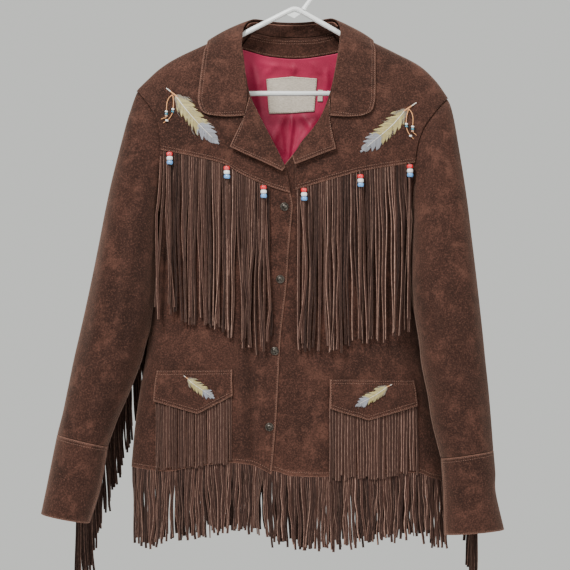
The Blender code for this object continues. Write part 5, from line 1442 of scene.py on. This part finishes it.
# %% Sleeve fringes
FRINGE_FIRST_RING = 4
SLEEVE_FRINGE_OFF = 1.55 * MM
SLEEVE_STRAND_LENGTH = 95.0
SLEEVE_STRANDS = 124
for side, seed in (("right", 41), ("left", 42)):
    rng = np.random.default_rng(seed)
    stations = len(armhole_loop(side))
    rings = [ring_points(ring, stations) for ring in SLEEVE[side] + CUFF[side][1:]]
    path = np.array([ring[BACK_SEAM_STATION[side]] for ring in rings[FRINGE_FIRST_RING:]])
    root = along(path, (np.arange(SLEEVE_STRANDS) + 0.5) / SLEEVE_STRANDS)[:, None, :]
    s = np.linspace(0, 1, STRAND_POINTS)[None, :]
    k = np.arange(SLEEVE_STRANDS)[:, None]
    to_body = 1.0 if side == "right" else -1.0
    swing = s * (1.6 * np.sin(k * 0.45) + 1.5 * rng.normal(0, 1, k.shape)) + 2.0 * s ** 2
    swing += 8.0 * np.maximum(0, 1 - 3.0 * k / SLEEVE_STRANDS) * s
    swing += 0.6 * np.sin(2 * np.pi * (s * rng.uniform(0.8, 2.2, k.shape) + rng.uniform(0, 1, k.shape))) * s
    length = SLEEVE_STRAND_LENGTH + rng.normal(0, 4, k.shape)
    level = ((k % 3 + rng.integers(0, 2, k.shape)) % 3) * LEVEL
    zero = np.zeros(swing.shape)
    moved = np.stack([to_body * swing * PIXEL, SLEEVE_FRINGE_OFF + level * smooth_step(6 * s), -length * s * PIXEL], -1)
    facing = turned_about_up(np.stack([zero, zero + 1, zero], -1), 30 * rng.normal(0, 1, k.shape) * (0.3 + s))
    tone = rng.uniform(0.0, 0.45, k.shape)
    width = (1 - 0.15 * s) * rng.uniform(0.85, 1.1, k.shape)
    sweep_strands("cut_fringe_sleeve_" + side, "fringe_sleeve_" + side, root + moved,
                                              facing, tone, width, 4.1 * MM, CUT_THICKNESS)

# %% [markdown]
# ## Stitches
# Each seam is a row of short, rounded stitches of thick thread, some 3.4 mm apart. A row runs at a set distance from a
# panel's edge, so it is measured on the panel's own grid, and a second node tree places one small stitch after another
# along it, each turned with the seam.

# %% The tree that lays stitches
STITCH_PITCH = 3.4 * MM
STITCH_LENGTH = 2.5 * MM
STITCH_RADIUS = 0.3 * MM
SEAM_POINTS = 160
LABEL_SEAM = 1.6 * MM


def stitch_tree():
    """Lines to rows of stitches."""
    tree, given = start_tree("stitches", (("Pitch", "Float"), ("Length", "Float"), ("Radius", "Float"),
                                          ("Material", "Material")))
    curve = add_node(tree, "GeometryNodeMeshToCurve", {"Mesh": given["Geometry"]})
    even = add_node(tree, "GeometryNodeResampleCurve", {"Curve": curve.outputs[0], "Length": given["Pitch"]},
                    mode="LENGTH")
    ball = add_node(tree, "GeometryNodeMeshUVSphere", {"Segments": 6, "Rings": 4, "Radius": 1.0})
    size = add_node(tree, "ShaderNodeCombineXYZ", {"X": given["Radius"], "Y": given["Radius"],
                                                  "Z": math_of(tree, "MULTIPLY", given["Length"], 0.5)})
    stitch = add_node(tree, "GeometryNodeTransform", {"Geometry": ball.outputs[0], "Scale": size.outputs[0]})
    along_seam = add_node(tree, "FunctionNodeAlignRotationToVector",
                          {"Vector": tree.nodes.new("GeometryNodeInputTangent").outputs[0]}, axis="Z")
    row = add_node(tree, "GeometryNodeInstanceOnPoints", {"Points": even.outputs[0], "Instance": stitch.outputs[0],
                                                         "Rotation": along_seam.outputs[0]})
    end_tree(tree, row.outputs[0], given["Material"])
    return tree


def inset_line(node, side, distance, trim=0.0, lift=0.12 * MM):
    """A line on a panel at a distance from one of its edges, trimmed at both ends."""
    outside, normals = panels[node].outside, panels[node].normals
    if side in ("top", "bottom"):
        outside, normals = np.swapaxes(outside, 0, 1), np.swapaxes(normals, 0, 1)
    if side in ("bottom", "end"):
        outside, normals = outside[:, ::-1], normals[:, ::-1]
    line = []
    for points, directions in zip(outside, normals):
        reach = np.concatenate([[0], np.cumsum(np.linalg.norm(np.diff(points, axis=0), axis=1))])
        raised = points + directions * lift
        line.append([np.interp(distance, reach, raised[:, k]) for k in range(3)])
    line = np.array(line)
    reach = np.concatenate([[0], np.cumsum(np.linalg.norm(np.diff(line, axis=0), axis=1))])
    shares = np.linspace(trim / reach[-1], 1 - trim / reach[-1], SEAM_POINTS)
    return along(line, shares)


sew = stitch_tree()
NEAR, FAR = 2.2 * MM, 6.2 * MM
IN_LINING, IN_LABEL = -SUEDE - 0.12 * MM, -LABEL_CLOTH - 0.1 * MM
BOTH_SIDES = (("lapel", "start"), ("yoke", "bottom"), ("flap", "top"), ("flap", "bottom"))
ONE_EACH_SIDE = (("flap", "start", NEAR, NEAR), ("flap", "end", NEAR, NEAR), ("cuff_top", "top", NEAR, 0.0),
                 ("cuff_top", "top", FAR, 0.0), ("cuff_top", "bottom", NEAR, 0.0), ("cuff_top", "end", FAR, NEAR),
                 ("lapel", "top", NEAR, NEAR), ("front", "bottom", FAR, NEAR), ("sleeve_under", "end", NEAR, NEAR))
rows = [inset_line("collar", edge, off, off) for edge in ("end", "top", "bottom") for off in (NEAR, FAR)]
for side in ("right", "left"):
    rows += [inset_line(part + "_" + side, edge, off, off) for part, edge in BOTH_SIDES for off in (NEAR, FAR)]
    rows += [inset_line(part + "_" + side, *seam) for part, *seam in ONE_EACH_SIDE]
rows += [inset_line("front_right", "end", NEAR, NEAR), inset_line("back", "bottom", FAR, NEAR)]
rows += [inset_line("neck_facing", edge, off, NEAR, IN_LINING)
         for edge, off in (("bottom", NEAR), ("top", NEAR), ("top", FAR))]
rows += [inset_line("label", edge, LABEL_SEAM, LABEL_SEAM, IN_LABEL) for edge in ("top", "bottom", "start", "end")]
print(len(rows), "rows of stitches")
stitches = line_mesh("stitches", np.array(rows), {})
grown(stitches, sew, {"Pitch": STITCH_PITCH, "Length": STITCH_LENGTH, "Radius": STITCH_RADIUS, "Material": thread},
      thread)
declare(stitches)

# %% [markdown]
# ## Snaps and beads
# The snap caps and the pony beads are turned shapes, so each is drawn as half a section and spun. A cap has a rolled
# rim, a groove and a low dome. A pony bead is a barrel with a hole, threaded on a strand of the fringe. They could be
# spun with the Screw modifier, but a few lines of numbers do the same and leave a clean, closed mesh.

# %% Turned shapes
SNAP_DIAMETER = 12.6 * MM
SNAP_HEIGHT = 3.4 * MM
BEAD_DIAMETER = 9.4 * MM
BEAD_HEIGHT = 6.3 * MM
BEAD_SEAT = 3.35 * MM
BEAD_HOLE_RADIUS = 1.7 * MM
BEAD_STEP = 1.01 * BEAD_HEIGHT
Snap = namedtuple("Snap", "x y")
SNAPS = rows_of(Snap, (284.4, 207.3), (280.3, 279.3), (275, 350.5), (269.5, 426))
TRIOS = {
    "right": rows_of(Point, (171.3, 159), (227.5, 173.3), (263.8, 192.6)),
    "left": rows_of(Point, (303.7, 195.2), (359.3, 181.3), (407.8, 171.1)),
}


def turn(profile, sides, ring):
    """Spins a profile of (radius, height) about the vertical. A ring's profile closes on itself."""
    profile = np.array(profile, dtype=float)
    angle = 2 * np.pi * np.arange(sides) / sides
    points = np.stack([profile[:, :1] * np.cos(angle), profile[:, :1] * np.sin(angle),
                       np.repeat(profile[:, 1:], sides, axis=1)], axis=-1).reshape(-1, 3)
    faces = []
    for i in range(len(profile) if ring else len(profile) - 1):
        low, high = i * sides, (i + 1) % len(profile) * sides
        faces += [[low + k, low + (k + 1) % sides, high + (k + 1) % sides, high + k] for k in range(sides)]
    if not ring:
        faces += [list(range(sides))[::-1], list(range((len(profile) - 1) * sides, len(profile) * sides))]
    return points, faces


def placed(shape, place, axis):
    """A turned shape stood at a place along an axis."""
    points, faces = shape
    matrix = np.array(Vector(axis).to_track_quat("Z", "Y").to_matrix())
    return points @ matrix.T + place, faces


def joined(name, shapes, tones, material):
    """Several shapes in one mesh, each with its tone."""
    points, faces, numbers, first = [], [], [], 0
    for (some, some_faces), tone in zip(shapes, tones):
        points.append(some)
        faces += [[first + k for k in face] for face in some_faces]
        numbers.append(np.full(len(some), tone))
        first += len(some)
    return mesh_object(name, np.concatenate(points), faces, material, {"tone": np.concatenate(numbers)})


radius = SNAP_DIAMETER / 2
CAP = ((0.86, 0.0), (0.97, 0.05), (1.0, 0.2), (0.97, 0.36), (0.9, 0.45), (0.82, 0.42), (0.76, 0.34), (0.72, 0.42),
       (0.66, 0.6), (0.54, 0.79), (0.38, 0.92), (0.2, 0.985), (0.04, 1.0))
cap = turn([(r * radius, h * SNAP_HEIGHT) for r, h in CAP], 48, False)
for k, snap in enumerate(SNAPS):
    place = body_point("front", snap.x, snap.y, front_raise("right", snap.x, snap.y))
    shape = placed(cap, place, body_normal("front", snap.x, snap.y))
    declare(joined("pewter_snap_%d" % (k + 1), [shape], [0.5], old_pewter), ("snap_%d" % (k + 1),))

radius = BEAD_DIAMETER / 2
BARREL = ((0.62, -0.48), (0.84, -0.43), (0.96, -0.26), (1.0, 0.0), (0.96, 0.26), (0.84, 0.43), (0.62, 0.48))
section = [(r * radius, h * BEAD_HEIGHT) for r, h in BARREL]
section += [(r * BEAD_HOLE_RADIUS, h * BEAD_HEIGHT) for r, h in ((1, 0.44), (0.92, 0.0), (1, -0.44))]
barrel = turn(section, 28, True)
for side, trios in TRIOS.items():
    for k, trio in enumerate(trios):
        lift = BEAD_SEAT + radius + front_raise(side, trio.x, trio.y)
        middle = body_point("front", trio.x, trio.y, lift)
        shapes = [placed(barrel, middle + np.array([0.25 * MM * n, 0, (1 - n) * BEAD_STEP]),
                         (0.06 * (n - 1), 0.03, 1)) for n in range(3)]
        thing = joined("pony_beads_%s_%d" % (side, k + 1), shapes, (0.16, 0.5, 0.84), pony_bead)
        declare(thing, ("bead_trio_%s_%d" % (side, k + 1),))
print("snaps and beads are on")

# %% [markdown]
# ## The strands that carry the beads
# One strand at each trio comes out over the yoke's edge, runs down through the three beads and hangs in front of the
# rest.

# %% Bead strands
lines, facings = [], []
rng = np.random.default_rng(51)
for side, trios in TRIOS.items():
    for trio in trios:
        edge_row = float(read(YOKE_EDGE[side], trio.x))
        lift = BEAD_SEAT + radius + front_raise(side, trio.x, trio.y)
        middle = body_point("front", trio.x, trio.y, lift)
        first = body_point("front", trio.x, edge_row - 1.5, SUEDE + LAYER_GAP + 0.7 * MM)
        end_row = float(read(YOKE_ENDS[side], trio.x)) - rng.uniform(0, 8)
        reach = middle[2] - (ORIGIN_Y - end_row) * PIXEL
        s = np.linspace(0, 1, STRAND_POINTS - 4)
        bend = 1.6 * PIXEL * np.sin(2.6 * s + rng.uniform(0, 3)) * s
        below = np.stack([middle[0] + bend, middle[1] + 1.5 * MM * smooth_step(2 * s), middle[2] - 1.5 * BEAD_HEIGHT
                          - (reach - 1.5 * BEAD_HEIGHT) * s], -1)
        top = middle + np.array([0, 0, 1.5 * BEAD_HEIGHT])
        lines.append(np.concatenate([[first, (first + top) / 2 + np.array([0, -0.5 * MM, 0.5 * MM]), top, middle],
                                     below]))
        facings.append(np.repeat(body_normal("front", trio.x, trio.y)[None, :], STRAND_POINTS, axis=0))
width = np.ones((6, STRAND_POINTS))
width[:, :5] = 0.75
bead_strands = line_mesh("bead_strands", np.array(lines),
                         {"facing": np.array(facings), "tone": rng.uniform(0.5, 0.9, (6, 1)), "width": width})
grown(bead_strands, sweep, {"Width": 3.3 * MM, "Thickness": 1.2 * MM, "Material": strand_suede}, strand_suede)
declare(bead_strands)

# %% [markdown]
# ## Feather motifs
# A feather with a cream vane, a grey-blue end, a downy foot and a pale shaft is stitched on each yoke, and a smaller
# one on each flap. These are feathers of no particular design, drawn by rule: barbs slant from the shaft towards the
# tip, and every few barbs the edge breaks. Rows of the grid are barbs, so a colour that changes by row follows them.

# %% Feather finish and shape
Feather = namedtuple("Feather", "quill start tip half_width bow")
FEATHERS = {
    "yoke_right": Feather((167.4, 89.5), (177.2, 97.4), (219.6, 145.2), 8.6, 1.6),
    "yoke_left": Feather((415.3, 103.8), (404.4, 111.6), (359.6, 153.0), 8.6, -1.6),
    "flap_right": Feather((185.2, 375.3), (189.6, 378.4), (215.4, 397.4), 5.4, 0.8),
    "flap_left": Feather((390.6, 384.2), (385.6, 386.4), (353.6, 405.6), 5.4, -0.8),
}
BARBS = 96
CORD_POINTS = 14


def feather_finish():
    """Cream, downy at the foot and grey-blue at the end, with a stripe for each barb."""
    material, tree, shader, where = start_material("feather_thread", 0.6, Sheen_Weight=0.25, Specular_IOR_Level=0.3)
    vane, barb = attribute(tree, "vane"), attribute(tree, "barb")
    cloud = noise(tree, where, 140.0, 3.0)
    shifted = math_of(tree, "ADD", vane, spread(tree, cloud, 0.3, 0.7, -0.05, 0.05))
    colour = blend_colours(tree, spread(tree, shifted, 0.04, 0.13), (0.16, 0.125, 0.095, 1), (0.43, 0.35, 0.125, 1))
    colour = blend_colours(tree, spread(tree, cloud, 0.45, 0.7, 0.0, 0.6), colour, (0.56, 0.49, 0.25, 1))
    colour = blend_colours(tree, spread(tree, shifted, 0.6, 0.64), colour, (0.27, 0.28, 0.32, 1))
    colour = blend_colours(tree, math_of(tree, "MULTIPLY", barb, 0.55), colour, (0.10, 0.08, 0.06, 1))
    finished(tree, shader, colour, barb, 0.4, 0.4 * MM)
    return material


def broken_edge(u, rng):
    """How much of its width the vane keeps at each barb: teeth that break suddenly and grow back towards the tip."""
    keep = np.ones(u.shape)
    for at in np.linspace(0.16, 0.93, 9) + rng.uniform(-0.03, 0.03, 9):
        size, depth = rng.uniform(0.05, 0.1), rng.uniform(0.25, 0.62)
        past = (u - at) / size
        keep = np.minimum(keep, np.where((past >= 0) & (past <= 1), 1 - depth * (1 - past), 1.0))
    return keep * (1 + 0.035 * np.where(np.arange(len(u)) % 2, 1, -1))


def feather_grid(feather, rng):
    """The places of a feather's vane, barb by barb, and how far across each lies."""
    start, tip = np.array(feather.start), np.array(feather.tip)
    run = tip - start
    ahead = run / np.linalg.norm(run)
    across = np.array([-ahead[1], ahead[0]])
    u = np.linspace(0, 1, BARBS)
    shaft = start + u[:, None] * run + across * (feather.bow * np.sin(np.pi * u))[:, None]
    half = feather.half_width * (0.45 + 0.55 * smooth_step(u / 0.14))
    half *= 1 - 0.9 * smooth_step((u - 0.66) / 0.36) ** 1.3
    t = np.linspace(-1, 1, 13)
    one, other = broken_edge(u, rng)[:, None], broken_edge(u, rng)[:, None]
    out = t * half[:, None] * np.where(np.abs(t) > 0.4, np.where(t < 0, one, other), 1.0)
    forward = 0.95 * np.abs(out) - 0.55 * half[:, None]
    return shaft[:, None, :] + across * out[..., None] + ahead * forward[..., None], t


feather_thread = feather_finish()
shaft_thread = tape_finish("pale_shaft", (0.55, 0.50, 0.42, 1), (0.78, 0.75, 0.70, 1), 900.0)
down_thread = tape_finish("grey_down", (0.10, 0.085, 0.07, 1), (0.26, 0.22, 0.19, 1), 1500.0)


def rope_tree():
    """Lines to round cords."""
    tree, given = start_tree("cords", (("Radius", "Float"), ("Material", "Material")))
    curve = add_node(tree, "GeometryNodeMeshToCurve", {"Mesh": given["Geometry"]})
    ring = add_node(tree, "GeometryNodeCurvePrimitiveCircle", {"Resolution": 8, "Radius": given["Radius"]})
    width = add_node(tree, "GeometryNodeInputNamedAttribute", {"Name": "width"}, data_type="FLOAT")
    swept = add_node(tree, "GeometryNodeCurveToMesh", {"Curve": curve.outputs[0], "Profile Curve": ring.outputs[0],
                                                      "Scale": width.outputs["Attribute"], "Fill Caps": True})
    end_tree(tree, swept.outputs[0], given["Material"])
    return tree


rope = rope_tree()


def motif_lift(where, x, y):
    """How far a motif lies off the torso's outside: on the yoke or on the flap, and raised with the right front."""
    part, side = where.split("_")
    if part == "yoke":
        return SUEDE + LAYER_GAP + 0.5 * MM + front_raise(side, x, y)
    top, low = read(np.array(FLAP_TOP[side]), x), read(np.array(FLAP_BOTTOM[side]), x)
    return flap_lift(side, x, (y - top) / (low - top)) + 0.8 * MM


def cords_on(name, where, paths, radius, material, taper=0.0, extra=0.0):
    """Round cords along paths of places, laid on what the motif lies on."""
    lines = []
    for path in paths:
        rail = along(smooth_along(np.array(path, dtype=float), 6), np.linspace(0, 1, CORD_POINTS))
        lines.append(body_point("front", rail[:, 0], rail[:, 1], motif_lift(where, rail[:, 0], rail[:, 1]) + extra))
    width = np.broadcast_to(1 - taper * np.linspace(0, 1, CORD_POINTS), (len(lines), CORD_POINTS))
    thing = line_mesh(name, np.array(lines), {"width": width})
    grown(thing, rope, {"Radius": radius, "Material": material}, material)
    declare(thing)


# %% [markdown]
# ## Sewing the feathers on
# The vane is a very thin wall, domed towards its shaft. The shaft, the tan cord at the quill and the wisps of down are
# round cords on top of it, which a third node tree sweeps along their lines.

# %% Sewing the feathers on
for number, (where, feather) in enumerate(FEATHERS.items()):
    rng = np.random.default_rng(70 + number)
    places, t = feather_grid(feather, rng)
    x, y = places[..., 0], places[..., 1]
    lift = motif_lift(where, x, y) + 0.45 * MM * (1 - t ** 2) + 0.15 * MM
    barb = np.repeat(rng.uniform(0, 1, (BARBS, 1)), len(t), axis=1)
    vane = np.repeat(np.linspace(0, 1, BARBS)[:, None], len(t), axis=1)
    thing = wall("feather_" + where, body_point("front", x, y, lift), body_normal("front", x, y), 0.5 * MM,
                 feather_thread, {"vane": vane, "barb": barb})
    declare(thing)
    size = feather.half_width / 8.6
    spine = [feather.quill, feather.start] + [tuple(places[k, 6]) for k in range(12, BARBS - 8, 12)]
    cords_on("shaft_" + where, where, [spine], 0.85 * MM * size, shaft_thread, taper=0.6, extra=0.7 * MM)
    ahead = np.array(feather.start) - np.array(feather.quill)
    wrap = [tuple(feather.start - ahead * share) for share in (0.55, 0.35, 0.1, -0.12)]
    cords_on("wrap_" + where, where, [wrap], 1.15 * MM * size, thong_hide, extra=0.75 * MM)
    wisps = []
    for k in list(rng.integers(0, 12, 30)) + list(rng.integers(12, BARBS - 8, 13)):
        end = places[k, rng.choice([0, 12])]
        root = places[k, 6] + (end - places[k, 6]) * 0.7
        away = (end - root) * rng.uniform(0.5, 1.5) + np.array(feather.tip) * 0.05 - np.array(feather.start) * 0.05
        curl = np.array([-away[1], away[0]]) * rng.uniform(-0.3, 0.3)
        wisps.append([root, root + away * 0.5 + curl, root + away * 1.1])
    cords_on("down_" + where, where, wisps, 0.45 * MM * (0.5 + 0.5 * size), down_thread, taper=0.7,
             extra=0.25 * MM)
print("feathers are on")

# %% [markdown]
# ## Thongs with seed beads
# Two thin tan thongs are tied round the quill of each yoke's feather. They carry a few small beads, white, turquoise
# and brown, and end in short tails.

# %% Thongs
THONGS = {
    "yoke_right": (
        ((173.7, 96.1), (170.2, 99), (168, 104.5), (167.8, 111.5), (167.4, 118.4), (164.6, 119.4), (162.2, 120.4)),
        ((173.9, 96.6), (174.6, 103.4), (174.2, 109.5), (173.4, 114.6), (171.2, 119), (167, 122.3), (164.4, 124.2)),
    ),
    "yoke_left": (
        ((407.6, 110.2), (410.6, 114), (411.8, 120), (411.4, 127), (411.2, 132.6), (413.4, 134.6), (415, 136.2)),
        ((407.4, 110.8), (405.6, 117), (405, 123.4), (405.4, 129.2), (407.2, 133.8), (410, 137.4), (412.2, 139.8)),
    ),
}
SEED_BEADS = {
    "yoke_right": ((167.8, 112.6, 0.1), (167.7, 115.0, 0.5), (167.5, 117.2, 0.9), (174.1, 110.6, 0.1),
                   (173.8, 113.0, 0.5), (167.6, 121.9, 0.1)),
    "yoke_left": ((411.4, 127.8, 0.1), (411.3, 130.2, 0.5), (411.2, 132.3, 0.9), (405.1, 125.2, 0.1),
                  (405.3, 127.6, 0.5), (409.4, 136.9, 0.1)),
}
SEED = 2.3 * MM
seed = turn([(SEED * r, SEED * h) for r, h in ((0.35, -0.62), (0.8, -0.6), (1.0, -0.25), (1.0, 0.25), (0.8, 0.6),
                                               (0.35, 0.62))], 16, False)
for where, paths in THONGS.items():
    cords_on("thongs_" + where, where, paths, 0.75 * MM, thong_hide, taper=0.25, extra=0.9 * MM)
    shapes = []
    for x, y, tone in SEED_BEADS[where]:
        x, y = np.array(x), np.array(y)
        shapes.append(placed(seed, body_point("front", x, y, motif_lift(where, x, y) + 1.2 * MM), (0.2, 0, 1)))
    declare(joined("seed_beads_" + where, shapes, [tone for x, y, tone in SEED_BEADS[where]], seed_bead))
print("thongs and seed beads are on")

# %% [markdown]
# ## The hanger
# The tube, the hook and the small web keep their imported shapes, which are right already, and only turn white.

# %% Hanger finish
for node in ("hanger_frame", "hanger_hook", "hanger_web"):
    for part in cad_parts[node].material_slots:
        part.material = white_plastic
print("the hanger is white")

# %% [markdown]
# ## Last
# The fringes are sewn under the yokes, the flaps and the hem, and into the back-arm seams. This last step runs over
# both sides and does nothing.

# %% Both sides, with nothing done
for side in ("right", "left"):
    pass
